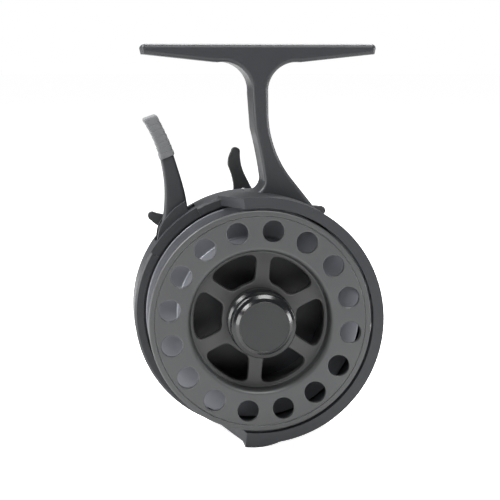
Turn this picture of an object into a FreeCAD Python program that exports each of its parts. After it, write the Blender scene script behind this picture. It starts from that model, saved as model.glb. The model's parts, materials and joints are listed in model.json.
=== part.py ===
import FreeCAD, Part
import math
import os

import Sketcher
from FreeCAD import Placement, Rotation, Vector

# Inline ice fly reel with a drop trigger, in millimetres.
# Row frame: +Z up, the spool's face looks along -Y, X runs along the rod.
# The origin is the middle of the foot's flat top, where the rod seat touches it.
# Most pieces are drawn as the reel is seen from the front: x to the right, y up and z
# towards the viewer, with their origin on the spool's axis in the plane of its face.
# Depths behind that face are negative z.

doc = FreeCAD.newDocument("FlyReel")

SIZES = [
    ("axis_drop", 75.0, "foot's top down to the spool's axis"),
    ("axis_side", -1.15, "spool's axis, along the rod from the foot's middle"),
    ("face_ahead", 20.5, "spool's face, in front of the foot's middle"),
    ("spool_radius", 30.5, "both flanges"),
    ("spool_width", 18.6, "over both flanges"),
    ("flange_wall", 1.6, "each flange"),
    ("arbor_radius", 21.4, "outside of the drum that takes the line"),
    ("arbor_wall", 2.3, "wall of the drum"),
    ("web_depth", 4.2, "spoked web behind the face"),
    ("web_wall", 2.8, "thickness of the spoked web"),
    ("spoke_count", 6, "spokes in the web"),
    ("spoke_width", 3.9, "each spoke"),
    ("window_inner", 10.4, "inner radius of the windows between the spokes"),
    ("window_outer", 18.0, "outer radius of the windows between the spokes"),
    ("port_count", 16, "round holes in the front flange"),
    ("port_radius", 2.95, "each round hole"),
    ("port_circle", 24.95, "circle of the round holes"),
    ("port_phase", 14.6, "first round hole, degrees from the right"),
    ("hub_radius", 7.6, "boss that holds the two bearings"),
    ("axle_radius", 2.0, "fixed axle under the spool"),
    ("bearing_radius", 4.5, "outside of a spool bearing"),
    ("bearing_width", 4.0, "each spool bearing"),
    ("fit", 0.05, "running clearance on a radius"),
    ("gap", 0.3, "free clearance between parts that move"),
    ("rim_gap", 0.6, "cage wall outside the spool's rim"),
    ("cage_wall", 2.9, "thickness of the cage wall"),
    ("plate_gap", 0.6, "back plate behind the spool"),
    ("plate_wall", 2.6, "thickness of the back plate"),
    ("lip_stand", 1.6, "raised lip round the back plate, which hides the spool's rear edge"),
    ("shell_rim", 2.6, "gear case outside the cage wall's inner face"),
    ("shell_wall", 2.0, "rim wall of the gear case"),
    ("case_depth", 9.2, "inside depth of the gear case"),
    ("cover_wall", 2.4, "thickness of the rear cover"),
    ("gear_module", 0.8, "tooth size of both gears"),
    ("gear_teeth", 32, "drive gear"),
    ("pinion_teeth", 12, "pinion"),
    ("drive_lean", 97.1, "direction of the drive axis from the spool's, degrees"),
    ("travel", 1.885, "how far the pinion and its slide move"),
    ("tail_length", 9.0, "trigger's pin from its pivot"),
    ("pivot_inset", 2.7, "trigger's pivot inside the gear case's rim"),
    ("shaft_radius", 3.0, "drive shaft"),
    ("star_radius", 27.7, "tips of the star drag"),
    ("star_wall", 2.6, "thickness of the star's arms"),
    ("knob_radius", 8.8, "front tension knob"),
    ("foot_length", 65.0, "foot along the rod"),
    ("foot_width", 15.0, "foot and stem across the rod"),
    ("foot_tip", 2.8, "thickness at the foot's ends"),
    ("foot_root", 5.0, "thickness of the foot beside the stem"),
    ("crank_reach", 34.0, "handle knob from the drive axis"),
    ("grip_radius", 7.2, "handle knob"),
    ("grip_length", 17.0, "handle knob"),
]

sheet = doc.addObject("Spreadsheet::Sheet", "Sizes")
for row, (alias, number, note) in enumerate(SIZES, start=1):
    sheet.set(f"A{row}", alias)
    sheet.set(f"B{row}", str(number))
    sheet.setAlias(f"B{row}", alias)
    sheet.set(f"C{row}", note)
doc.recompute()


def size(alias):
    """Value of one cell, as a plain number."""
    return float(getattr(sheet, alias))


FIT = size("fit")
GAP = size("gap")
FULL_TURN = 360.0

# Planes behind the spool's face, as heights along the local z axis.
SPOOL_REAR = -size("spool_width")
PLATE_FRONT = SPOOL_REAR - size("plate_gap")
LIP_FRONT = PLATE_FRONT + size("lip_stand")
PLATE_REAR = PLATE_FRONT - size("plate_wall")
CASE_REAR = PLATE_REAR - size("case_depth")
COVER_REAR = CASE_REAR - size("cover_wall")
CAGE_INNER = size("spool_radius") + size("rim_gap")
CAGE_OUTER = CAGE_INNER + size("cage_wall")
SHELL_RADIUS = CAGE_INNER + size("shell_rim")
SHELL_INNER = SHELL_RADIUS - size("shell_wall")
CENTRES = size("gear_module") * (size("gear_teeth") + size("pinion_teeth")) / 2


def polar(radius, degrees, z=0.0):
    """Point at a radius and an angle, anticlockwise from the right."""
    angle = math.radians(degrees)
    return Vector(radius * math.cos(angle), radius * math.sin(angle), z)


SPOOL_AXIS = Vector(0, 0, 0)
DRIVE_AXIS = polar(CENTRES, size("drive_lean"))
TRIGGER_LEAN = 135.0
TRIGGER_PIVOT = polar(SHELL_RADIUS - size("pivot_inset"), TRIGGER_LEAN)

sub_parts = []


def place(piece):
    """Stand a piece drawn from the front in the row frame and list it for export."""
    piece.Placement = Placement(Vector(0, 0, 0), Rotation(Vector(1, 0, 0), 90))
    piece.setExpression("Placement.Base.x", "Sizes.axis_side * 1mm")
    piece.setExpression("Placement.Base.y", "-Sizes.face_ahead * 1mm")
    piece.setExpression("Placement.Base.z", "-Sizes.axis_drop * 1mm")
    sub_parts.append(piece)
    return piece


def new_body(label):
    """Empty body whose label names its file."""
    body = doc.addObject("PartDesign::Body", label)
    body.Label = label
    return body


def origin_plane(body, role):
    """One of the body's own origin planes."""
    return next(f for f in body.Origin.OriginFeatures if f.Role == role)


def new_sketch(body, name, role="XY_Plane", height=0.0, turn=0.0):
    """Sketch on an origin plane, moved along its normal and turned about local z."""
    sketch = body.newObject("Sketcher::SketchObject", name)
    sketch.AttachmentSupport = [(origin_plane(body, role), "")]
    sketch.MapMode = "FlatFace"
    if role == "XY_Plane":
        offset = Placement(Vector(0, 0, height), Rotation(Vector(0, 0, 1), turn))
    else:
        offset = Placement(Vector(0, 0, 0), Rotation(Vector(0, 1, 0), turn))
    sketch.AttachmentOffset = offset
    return sketch


def add_circle(sketch, centre, radius, expression=None):
    """Circle in a sketch, with its radius bound to a cell where one is named."""
    circle = Part.Circle(Vector(centre.x, centre.y, 0), Vector(0, 0, 1), radius)
    index = sketch.addGeometry(circle)
    if expression:
        number = sketch.addConstraint(Sketcher.Constraint("Radius", index, radius))
        sketch.setExpression(f"Constraints[{number}]", expression)
    return index


def add_outline(sketch, start, steps):
    """Closed outline: each step is an end point, or a point on an arc and its end."""
    here = Vector(*start)
    first = here
    for step in steps:
        if len(step) == 4:
            middle = Vector(step[0], step[1], 0)
            there = Vector(step[2], step[3], 0)
            sketch.addGeometry(Part.Arc(here, middle, there))
        else:
            there = Vector(step[0], step[1], 0)
            sketch.addGeometry(Part.LineSegment(here, there))
        here = there
    if (here - first).Length > 1e-6:
        sketch.addGeometry(Part.LineSegment(here, first))


def add_sector(sketch, inner, outer, start, end):
    """Closed sector of a ring between two angles."""
    middle = (start + end) / 2
    corners = [polar(inner, start), polar(outer, start), polar(outer, end), polar(inner, end)]
    sketch.addGeometry(Part.LineSegment(corners[0], corners[1]))
    sketch.addGeometry(Part.Arc(corners[1], polar(outer, middle), corners[2]))
    sketch.addGeometry(Part.LineSegment(corners[2], corners[3]))
    sketch.addGeometry(Part.Arc(corners[3], polar(inner, middle), corners[0]))


def add_slot(sketch, centre, half_width, along, start, end):
    """Closed slot with round ends, along a direction given in degrees."""
    way = polar(1, along)
    side = polar(half_width, along + 90)
    a = centre + way * start
    b = centre + way * end
    sketch.addGeometry(Part.LineSegment(a + side, b + side))
    sketch.addGeometry(Part.Arc(b + side, b + way * half_width, b - side))
    sketch.addGeometry(Part.LineSegment(b - side, a - side))
    sketch.addGeometry(Part.Arc(a - side, a - way * half_width, a + side))


def pad(body, name, sketch, length, back=True, expression=None):
    """Pad a sketch away from the viewer, or towards it."""
    feature = body.newObject("PartDesign::Pad", name)
    feature.Profile = sketch
    feature.Length = length
    feature.Reversed = back
    if expression:
        feature.setExpression("Length", expression)
    body.Tip = feature
    return feature


def pocket(body, name, sketch, length, back=True, expression=None):
    """Cut a sketch away from the viewer, or towards it."""
    feature = body.newObject("PartDesign::Pocket", name)
    feature.Profile = sketch
    feature.Length = length
    feature.Reversed = not back
    if expression:
        feature.setExpression("Length", expression)
    body.Tip = feature
    return feature


def revolve(body, name, sketch):
    """Turn a profile drawn as radius and height once round the local z axis."""
    feature = body.newObject("PartDesign::Revolution", name)
    feature.Profile = sketch
    feature.ReferenceAxis = (sketch, ["V_Axis"])
    feature.Angle = FULL_TURN
    body.Tip = feature
    return feature


def polar_pattern(body, name, originals, count):
    """Repeat features evenly round the local z axis of the first one's sketch."""
    feature = body.newObject("PartDesign::PolarPattern", name)
    feature.Originals = originals
    feature.Axis = (originals[0].Profile[0], ["N_Axis"])
    feature.Angle = FULL_TURN
    feature.Occurrences = count
    body.Tip = feature
    return feature


def edges_where(feature, test):
    """Names of the edges whose shape passes a test."""
    doc.recompute()
    edges = feature.Shape.Edges
    return [f"Edge{i}" for i, edge in enumerate(edges, start=1) if test(edge)]


def round_edges(body, name, base, test, radius):
    """Fillet the edges that pass a test."""
    feature = body.newObject("PartDesign::Fillet", name)
    feature.Base = (base, edges_where(base, test))
    feature.Radius = radius
    body.Tip = feature
    return feature


def bevel_edges(body, name, base, test, width):
    """Chamfer the edges that pass a test."""
    feature = body.newObject("PartDesign::Chamfer", name)
    feature.Base = (base, edges_where(base, test))
    feature.Size = width
    body.Tip = feature
    return feature


def turned(label, profile, axis=SPOOL_AXIS):
    """Turned piece from a profile of radius and height, on an axis of the reel."""
    body = new_body(label)
    sketch = new_sketch(body, label + "_profile", "XZ_Plane")
    add_outline(sketch, profile[0] + (0,), profile[1:])
    revolve(body, label + "_turning", sketch)
    place(body)
    shift_to(body, axis)
    return body


def shift_to(piece, axis):
    """Move a piece drawn about its own axis to an axis of the reel."""
    piece.setExpression("Placement.Base.x", f"(Sizes.axis_side + {axis.x:.6f}) * 1mm")
    piece.setExpression("Placement.Base.z", f"({axis.y:.6f} - Sizes.axis_drop) * 1mm")


def ring(label, inner, outer, front, length, axis=SPOOL_AXIS):
    """Plain washer or tube, from its front plane back."""
    rear = front - length
    return turned(label, [(inner, front), (outer, front), (outer, rear), (inner, rear)], axis)


def on_plane(edge, z, slack=1e-3):
    """True where an edge lies whole in a plane across the local z axis."""
    box = edge.BoundBox
    return abs(box.ZMin - z) < slack and abs(box.ZMax - z) < slack


# Frame: the back plate and gear case, the C-shaped cage wall, and the stem and foot.

WALL_TOP = 98.0
WALL_BOTTOM = -97.0
WALL_MERGE = 0.8
LUG_TURN = 16.0
LUG_OUT = 1.1
CASE_BEVEL = 0.6
COVER_SCREWS = (58.0, 350.0, 300.0, 240.0, 190.0)
HOUSING_SCREW = 147.0
SCREW_BOSS = 2.6
SCREW_CIRCLE = SHELL_INNER - 2.3
SCREW_HOLE = 0.85
HOUSING_SCREW_CIRCLE = SHELL_RADIUS - 2.4
SCREW_REACH = 5.6
NOTCH_START = 118.5
NOTCH_END = 149.5
NOTCH_INNER = SHELL_RADIUS - 4.7
BUSH_RADIUS = 4.0
BUSH_BOSS = 5.6
BUSH_STAND = 1.6
BUSH_SKIN = 1.0
JOURNAL_RADIUS = 5.0
POST_SIDE = 12.4
POST_LOW = -0.5
POST_RADIUS = 1.0
POST_SEAT = 1.6
POSTS = (Vector(-POST_SIDE, POST_LOW, 0), Vector(POST_SIDE, POST_LOW, 0))


def make_frame_shell():
    """Back plate with the gear case behind it and the cage wall in front."""
    body = new_body("frame_shell")
    outer = SHELL_RADIUS
    profile = new_sketch(body, "case_profile", "XZ_Plane")
    bore = JOURNAL_RADIUS + FIT
    add_outline(profile, (bore, PLATE_FRONT, 0), [
        (CAGE_INNER, PLATE_FRONT),
        (CAGE_INNER, LIP_FRONT),
        (outer - CASE_BEVEL, LIP_FRONT),
        (outer, LIP_FRONT - CASE_BEVEL),
        (outer, CASE_REAR),
        (SHELL_INNER, CASE_REAR),
        (SHELL_INNER, PLATE_REAR),
        (bore, PLATE_REAR),
    ])
    revolve(body, "case_turning", profile)

    wall = new_sketch(body, "wall_plan")
    add_sector(wall, CAGE_INNER, CAGE_OUTER, WALL_BOTTOM, WALL_TOP)
    pad(body, "cage_wall_pad", wall, -PLATE_FRONT + WALL_MERGE)

    lug = new_sketch(body, "lug_plan")
    add_outline(lug, tuple(polar(CAGE_INNER + 1, WALL_BOTTOM)), [
        tuple(polar(CAGE_OUTER + LUG_OUT, WALL_BOTTOM))[:2],
        tuple(polar(CAGE_OUTER + 0.8 * LUG_OUT, WALL_BOTTOM + LUG_TURN / 2))[:2]
        + tuple(polar(CAGE_OUTER, WALL_BOTTOM + LUG_TURN))[:2],
        tuple(polar(CAGE_INNER + 1, WALL_BOTTOM + LUG_TURN))[:2],
        tuple(polar(CAGE_INNER + 1, WALL_BOTTOM + LUG_TURN / 2))[:2]
        + tuple(polar(CAGE_INNER + 1, WALL_BOTTOM))[:2],
    ])
    pad(body, "lug_pad", lug, -PLATE_FRONT + WALL_MERGE)

    slope_wall_end(body, "wall_slope_low", WALL_BOTTOM, -1)
    slope_wall_end(body, "wall_slope_high", WALL_TOP, 1)
    for number, start in enumerate((-23.0, 15.0)):
        cut_wall_window(body, f"wall_window_{number}", start)

    bosses = new_sketch(body, "boss_plan", height=PLATE_REAR)
    for turn in COVER_SCREWS:
        add_circle(bosses, polar(SCREW_CIRCLE, turn), SCREW_BOSS)
    pad(body, "screw_bosses", bosses, size("case_depth"), expression="Sizes.case_depth")
    seat = new_sketch(body, "bush_boss_plan", height=PLATE_REAR)
    add_circle(seat, DRIVE_AXIS, BUSH_BOSS)
    pad(body, "bush_boss", seat, BUSH_STAND)

    holes = new_sketch(body, "screw_hole_plan", height=CASE_REAR)
    for turn in COVER_SCREWS:
        add_circle(holes, polar(SCREW_CIRCLE, turn), SCREW_HOLE)
    pocket(body, "screw_holes", holes, size("case_depth") - 1, back=False)
    bush = new_sketch(body, "bush_plan", height=PLATE_FRONT - BUSH_SKIN)
    add_circle(bush, DRIVE_AXIS, BUSH_RADIUS)
    pocket(body, "bush_seat", bush, size("plate_wall") + BUSH_STAND)
    posts = new_sketch(body, "post_plan", height=PLATE_REAR)
    for centre in POSTS:
        add_circle(posts, centre, POST_RADIUS)
    pocket(body, "post_seats", posts, POST_SEAT, back=False)

    notch = new_sketch(body, "notch_plan", height=LIP_FRONT)
    add_sector(notch, NOTCH_INNER, SHELL_RADIUS + 1, NOTCH_START, NOTCH_END)
    pocket(body, "trigger_notch", notch, LIP_FRONT - CASE_REAR)
    return body


SLOPE_DEPTH = 19.0
SLOPE_TURN = 9.0


def radial_sketch(body, name, radius, turn):
    """Sketch that faces outwards at a radius: x runs round the axis, y along it."""
    sketch = body.newObject("Sketcher::SketchObject", name)
    sketch.AttachmentSupport = [(origin_plane(body, "XZ_Plane"), "")]
    sketch.MapMode = "FlatFace"
    out = polar(radius, turn)
    sketch.AttachmentOffset = Placement(
        Vector(out.x, 0, -out.y), Rotation(Vector(0, 1, 0), turn + 90))
    return sketch


def slope_wall_end(body, name, turn, side):
    """Slope an end of the cage wall, so that it leans out towards the back plate."""
    reach = side * CAGE_OUTER * math.radians(SLOPE_TURN)
    sketch = radial_sketch(body, name + "_side", CAGE_INNER, turn)
    root = PLATE_FRONT - WALL_MERGE / 2
    overlap = -side * WALL_MERGE
    add_outline(sketch, (overlap, 0, 0), [(0, 0), (reach, root), (overlap, root)])
    return pad(body, name, sketch, size("cage_wall"), back=False)


WINDOW_TURN = 31.0
WINDOW_RAIL = 3.2
WINDOW_FOOT = 2.2


def cut_wall_window(body, name, start):
    """Open a line port through the cage wall between two angles."""
    sketch = new_sketch(body, name + "_profile", "XZ_Plane", turn=start)
    add_outline(sketch, (CAGE_INNER - 1, -WINDOW_RAIL, 0), [
        (CAGE_OUTER + 1, -WINDOW_RAIL),
        (CAGE_OUTER + 1, PLATE_FRONT + WINDOW_FOOT),
        (CAGE_INNER - 1, PLATE_FRONT + WINDOW_FOOT),
    ])
    feature = body.newObject("PartDesign::Groove", name)
    feature.Profile = sketch
    feature.ReferenceAxis = (sketch, ["V_Axis"])
    feature.Angle = WINDOW_TURN
    body.Tip = feature
    return feature


STEM_ROOT = 1.3
STEM_FRONT = -13.0
FOOT_SLOPE = 11.5
TIP_ROUND = 1.2
EDGE_ROUND = 1.15


def make_frame_stem():
    """Foot and stem as one T, cut from a slab across the rod and rounded all round."""
    body = new_body("frame_stem")
    middle = -size("axis_side")
    top = size("axis_drop")
    half = size("foot_length") / 2
    tip = size("foot_tip")
    root = size("foot_root")
    neck_left = middle - 2.05
    neck_right = middle + 2.45
    ring_mid = CAGE_INNER + STEM_ROOT
    base_left = polar(ring_mid, 95)
    base_right = polar(ring_mid, 58)
    plan = new_sketch(body, "stem_plan", height=STEM_FRONT)
    right = [
        (middle + half - TIP_ROUND, top),
        (middle + half - 0.3, top - 0.4, middle + half, top - TIP_ROUND),
        (middle + half - 0.35, top - tip),
        (middle + FOOT_SLOPE, top - root),
        (neck_right + 2.2, top - root - 2.4, neck_right, top - root - 7.5),
        (neck_right + 0.1, CAGE_OUTER + 21.5),
        (neck_right + 1.25, CAGE_OUTER + 14.2, neck_right + 5.7, CAGE_OUTER + 5.0),
    ]
    left = [
        (1.6, CAGE_OUTER + 0.9, 2.6, CAGE_OUTER + 3.4),
        (1.55, CAGE_OUTER + 9.9, neck_left + 0.75, CAGE_OUTER + 17.5),
        (neck_left, top - root - 8.5),
        (neck_left - 2.0, top - root - 2.6, middle - FOOT_SLOPE, top - root),
        (middle - half + 0.35, top - tip),
        (middle - half, top - TIP_ROUND),
        (middle - half + 0.3, top - 0.4, middle - half + TIP_ROUND, top),
    ]
    foot_end = polar(CAGE_OUTER - 0.2, 59.5)
    arc_mid = polar(ring_mid, 76)
    heel = polar(CAGE_OUTER - 0.1, 93.5)
    steps = right + [
        (foot_end.x, foot_end.y),
        (base_right.x, base_right.y),
        (arc_mid.x, arc_mid.y, base_left.x, base_left.y),
        (heel.x, heel.y),
    ] + left
    add_outline(plan, (middle - half + TIP_ROUND, top, 0), steps)
    slab = pad(body, "stem_pad", plan, size("foot_width"), expression="Sizes.foot_width")
    shown = CAGE_OUTER + 1
    planes = {"front": STEM_FRONT, "rear": STEM_FRONT - size("foot_width")}
    for side, plane in planes.items():

        def outer_edge(edge):
            return edge.BoundBox.YMax > shown and on_plane(edge, plane)

        slab = round_edges(body, f"stem_rounding_{side}", slab, outer_edge, EDGE_ROUND)
    return body


def make_frame():
    """Case, cage wall, stem and foot fused into the one casting that they are."""
    frame = doc.addObject("Part::MultiFuse", "frame")
    frame.Shapes = [make_frame_shell(), make_frame_stem()]
    frame.Refine = True
    frame.Label = "frame"
    return place(frame)


# Trigger housing, lever, pad, pin and return spring.

HOUSING_FIT = 0.05
CHEEK_FRONT = PLATE_FRONT - 1.2
SLOT_FRONT = PLATE_REAR - 0.8
SLOT_REAR = CASE_REAR + 1.5
SWING_DROP = 1.6
SWING_SPREAD = 0.6
PIN_RADIUS = 1.25
PIN_HEAD = 2.0
PIN_FRONT = PLATE_FRONT - 0.9


def make_trigger_housing():
    """Block let into the rim, with two cheeks that stand up round the lever."""
    body = new_body("trigger_housing")
    outer = SHELL_RADIUS
    start = NOTCH_START + math.degrees(HOUSING_FIT / outer)
    end = NOTCH_END - math.degrees(HOUSING_FIT / outer)
    plan = new_sketch(body, "block_plan", height=PLATE_FRONT)
    add_sector(plan, NOTCH_INNER + HOUSING_FIT, outer, start, end)
    pad(body, "block_pad", plan, PLATE_FRONT - CASE_REAR)
    lip = new_sketch(body, "lip_plan", height=LIP_FRONT)
    add_sector(lip, CAGE_INNER, outer, start, end)
    pad(body, "lip_pad", lip, LIP_FRONT - CASE_REAR)
    cheeks = new_sketch(body, "cheek_plan", height=CHEEK_FRONT)
    low_right = polar(outer - 1.2, 123.5)
    low_left = polar(outer - 1.2, 149.0)
    top_right = polar(outer + 2.8, 121.5)
    top_left = polar(outer + 1.2, 139.6)
    crown = polar(outer + 2.7, 129.0)
    middle = polar(outer - 1.2, 136)
    add_outline(cheeks, tuple(low_right), [
        (top_right.x, top_right.y),
        (crown.x, crown.y, top_left.x, top_left.y),
        from_pivot([(-26.9, 20.6)])[0],
        (low_left.x, low_left.y),
        (middle.x, middle.y, low_right.x, low_right.y),
    ])
    pad(body, "cheek_pad", cheeks, CHEEK_FRONT - CASE_REAR - GAP)

    slot = new_sketch(body, "slot_plan", height=SLOT_FRONT)
    right_wall = NOTCH_START + 2.9
    left_wall = NOTCH_END - 5.0
    add_sector(slot, NOTCH_INNER - 1, outer + 8, right_wall, left_wall)
    pocket(body, "lever_slot", slot, SLOT_FRONT - SLOT_REAR)
    relief = new_sketch(body, "relief_plan", height=SLOT_FRONT)
    add_sector(relief, outer, outer + 8, NOTCH_START - 3, NOTCH_END + 3)
    pocket(body, "cheek_gap", relief, SLOT_FRONT - SLOT_REAR)
    swing = new_sketch(body, "swing_plan", height=SLOT_FRONT)
    add_sector(swing, outer - SWING_DROP, outer + 8, NOTCH_START - 3, right_wall + SWING_SPREAD)
    pocket(body, "swing_relief", swing, SLOT_FRONT - SLOT_REAR)

    hole = new_sketch(body, "pin_plan", height=PIN_FRONT)
    add_circle(hole, TRIGGER_PIVOT, PIN_RADIUS)
    pocket(body, "pin_hole", hole, PIN_FRONT - CASE_REAR + 1)
    thread = new_sketch(body, "housing_screw_plan", height=CASE_REAR)
    add_circle(thread, polar(HOUSING_SCREW_CIRCLE, HOUSING_SCREW), SCREW_HOLE)
    pocket(body, "housing_screw_hole", thread, SCREW_REACH + 0.5, back=False)
    return place(body)


def make_trigger_pin():
    """Pin through the cheeks and the lever."""
    pin = ring("trigger_pin", 0, PIN_RADIUS - FIT / 5, PIN_FRONT - FIT, PIN_FRONT - CASE_REAR - 0.4,
               TRIGGER_PIVOT)
    return pin


LEVER_FRONT = SLOT_FRONT - GAP
LEVER_REAR = SLOT_REAR + GAP
SPRING_RECESS = 3.0
RECESS_DEPTH = 2.6
LEVER_HUB = 4.3
PIVOT_DRAWN = 31.0
TAIL_REAR = LEVER_FRONT - 2.0
TAIL_PIN = 1.1
SLIDE_FRONT = PLATE_REAR - 0.15
SLIDE_WALL = 0.75
BLADE_EDGE = 15.0
BLADE_ROUND = 0.8
PAD_WALL = 1.0
PAD_RIBS = 6
RIB_GAP = 0.7
RIB_DEPTH = 0.35
SLEEVE_BOW = 0.42


def from_pivot(steps):
    """Outline steps drawn for the pivot's place at first, moved with the pivot."""
    drawn = polar(PIVOT_DRAWN, TRIGGER_LEAN)
    shift = (TRIGGER_PIVOT.x - drawn.x, TRIGGER_PIVOT.y - drawn.y)
    return [tuple(value + shift[i % 2] for i, value in enumerate(step)) for step in steps]


def make_trigger_lever():
    """Curved finger lever with a round hub and a tail that drives the clutch slide."""
    body = new_body("trigger_lever")
    pivot = TRIGGER_PIVOT
    blade = new_sketch(body, "blade_plan", height=LEVER_FRONT)
    right_root = pivot + polar(LEVER_HUB, 30)
    left_root = pivot + polar(LEVER_HUB, 185)
    under = pivot + polar(LEVER_HUB, 287)
    shape = from_pivot([
        (-19.25, 33.5, -22.4, 43.5),
        (-26.5, 53.35),
        (-28.06, 52.67),
        (-23.98, 42.9),
        (-25.2, 42.5),
        (-23.9, 33.5),
    ])
    shape[-1] += (left_root.x, left_root.y)
    add_outline(blade, tuple(right_root), shape + [
        (under.x, under.y, right_root.x, right_root.y),
    ])
    blank = pad(body, "blade_pad", blade, LEVER_FRONT - LEVER_REAR)

    def long_edge(edge):
        flat = on_plane(edge, LEVER_FRONT) or on_plane(edge, LEVER_REAR)
        return flat and edge.Length > BLADE_EDGE and edge.CenterOfMass.y > pivot.y

    round_edges(body, "blade_rounding", blank, long_edge, BLADE_ROUND)

    tail = new_sketch(body, "tail_plan", height=LEVER_FRONT)
    reach = size("tail_length")
    add_slot(tail, pivot, TAIL_PIN + 0.7, TRIGGER_LEAN + 180, 0, reach)
    pad(body, "tail_pad", tail, LEVER_FRONT - TAIL_REAR)
    tip = new_sketch(body, "tail_pin_plan", height=LEVER_FRONT)
    add_circle(tip, pivot - polar(reach, TRIGGER_LEAN), TAIL_PIN)
    pad(body, "tail_pin", tip, SLIDE_FRONT - LEVER_FRONT, back=False)

    bore = new_sketch(body, "bore_plan", height=LEVER_FRONT)
    add_circle(bore, pivot, PIN_RADIUS + FIT)
    pocket(body, "lever_bore", bore, LEVER_FRONT - LEVER_REAR)
    recess = new_sketch(body, "recess_plan", height=LEVER_REAR)
    add_circle(recess, pivot, SPRING_RECESS)
    pocket(body, "spring_recess", recess, RECESS_DEPTH, back=False)
    return place(body)


def make_trigger_pad():
    """Rubber sleeve moulded over the lever's end, with grip ribs across it."""
    body = new_body("trigger_pad")
    front = LEVER_FRONT + PAD_WALL
    plan = new_sketch(body, "sleeve_plan", height=front)
    add_outline(plan, from_pivot([(-21.5, 44.0)])[0], from_pivot([
        (-23.5, 50.2, -26.9, 55.5),
        (-27.6, 56.0, -28.3, 55.9),
        (-30.6, 54.6),
        (-27.2, 48.2, -25.8, 42.65),
    ]))
    sleeve = pad(body, "sleeve_pad", plan, LEVER_FRONT - LEVER_REAR + 2 * PAD_WALL)
    core = new_sketch(body, "core_plan", height=LEVER_FRONT)
    add_outline(core, from_pivot([(-21.6, 41.6)])[0], from_pivot([
        (-22.38, 43.5),
        (-26.47, 53.38),
        (-28.09, 52.68),
        (-23.2, 40.95),
    ]))
    pocket(body, "core_pocket", core, LEVER_FRONT - LEVER_REAR)

    foot = Vector(*from_pivot([(-25.8, 42.65)])[0])
    tip = Vector(*from_pivot([(-30.6, 54.6)])[0])
    along = (tip - foot).normalize()
    across = Vector(-along.y, along.x, 0)
    rear = LEVER_REAR - PAD_WALL
    for face, height, back in (("front", front, True), ("rear", rear, False)):
        gaps = new_sketch(body, f"rib_gap_{face}_plan", height=height)
        for number in range(1, PAD_RIBS):
            middle = foot + (tip - foot) * (number / PAD_RIBS)
            low = middle - along * (RIB_GAP / 2)
            high = middle + along * (RIB_GAP / 2)
            corners = [low + across, low - across * 6, high - across * 6, high + across]
            add_outline(gaps, tuple(corners[0]), [(c.x, c.y) for c in corners[1:]])
        pocket(body, f"rib_gaps_{face}", gaps, RIB_DEPTH, back=back)
    edge = new_sketch(body, "rib_gap_edge_plan", height=front)
    for number in range(1, PAD_RIBS):
        share = number / PAD_RIBS
        bow = 4 * SLEEVE_BOW * share * (1 - share)
        middle = foot + (tip - foot) * share - across * (bow + RIB_DEPTH)
        low = middle - along * (RIB_GAP / 2)
        high = middle + along * (RIB_GAP / 2)
        corners = [low, high, high + across * 2, low + across * 2]
        add_outline(edge, tuple(corners[0]), [(c.x, c.y) for c in corners[1:]])
    pocket(body, "rib_gaps_edge", edge, front - rear)
    return place(body)


# Clutch: the slide that the trigger pulls, the yoke it lifts, and its posts and springs.

WEDGE_SIDE = 8.5
WEDGE_LOW = -4.6
WEDGE_RISE = size("travel") + 0.05
WEDGE_WIDTH = 2.4
SLIDE_LEAN = TRIGGER_LEAN - 90
SLIDE_REAR = SLIDE_FRONT - SLIDE_WALL
YOKE_FRONT = SLIDE_REAR - 0.2
YOKE_WALL = 1.2
GROOVE_RADIUS = 4.0
WEDGE_RUN = 1.2
WEDGE_FLAT = 0.9


def wedge_places():
    """Middle of each wedge on the slide."""
    return (Vector(-WEDGE_SIDE, WEDGE_LOW, 0), Vector(WEDGE_SIDE, WEDGE_LOW, 0))


def make_clutch_slide():
    """Flat plate round the pinion, guided by the posts, with two wedges."""
    body = new_body("clutch_slide")
    tail = TRIGGER_PIVOT - polar(size("tail_length"), TRIGGER_LEAN)
    plan = new_sketch(body, "slide_plan", height=SLIDE_FRONT)
    add_outline(plan, (-15.6, -7.0, 0), [
        (-15.0, -8.9, -13.2, -9.5),
        (13.2, -9.5),
        (15.0, -8.9, 15.6, -7.0),
        (15.6, 4.0),
        (14.8, 6.2, 12.6, 7.0),
        (-10.6, 7.0),
        (-12.2, 8.0, -12.8, 10.0),
        (tail.x + 2.5, tail.y + 0.5),
        (tail.x, tail.y + 3.2, tail.x - 2.5, tail.y + 0.5),
        (tail.x - 2.3, 10.0),
        (-15.6, 4.0),
    ])
    pad(body, "slide_pad", plan, SLIDE_WALL)
    cuts = new_sketch(body, "slide_cuts", height=SLIDE_FRONT)
    travel = size("travel")
    add_slot(cuts, SPOOL_AXIS, JOURNAL_RADIUS + GAP, SLIDE_LEAN, 0, travel)
    for centre in POSTS:
        add_slot(cuts, centre, POST_RADIUS + 4 * FIT, SLIDE_LEAN, 0, travel)
    add_slot(cuts, tail, TAIL_PIN + 0.1, TRIGGER_LEAN, -0.2, 0.5)
    pocket(body, "slide_cutting", cuts, SLIDE_WALL)
    for number, centre in enumerate(wedge_places()):
        side = body.newObject("Sketcher::SketchObject", f"wedge_side_{number}")
        side.AttachmentSupport = [(origin_plane(body, "XZ_Plane"), "")]
        side.MapMode = "FlatFace"
        corner = centre - polar(WEDGE_WIDTH / 2, SLIDE_LEAN + 90)
        side.AttachmentOffset = Placement(
            Vector(corner.x, 0, -corner.y), Rotation(Vector(0, 1, 0), SLIDE_LEAN))
        toe = -WEDGE_RUN
        heel = toe + WEDGE_RISE
        add_outline(side, (toe - 0.2, SLIDE_REAR + 0.2, 0), [
            (heel, SLIDE_REAR - WEDGE_RISE),
            (heel + WEDGE_FLAT, SLIDE_REAR - WEDGE_RISE),
            (heel + WEDGE_FLAT, SLIDE_REAR + 0.2),
        ])
        pad(body, f"wedge_{number}", side, WEDGE_WIDTH, back=True)
    return place(body)


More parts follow.
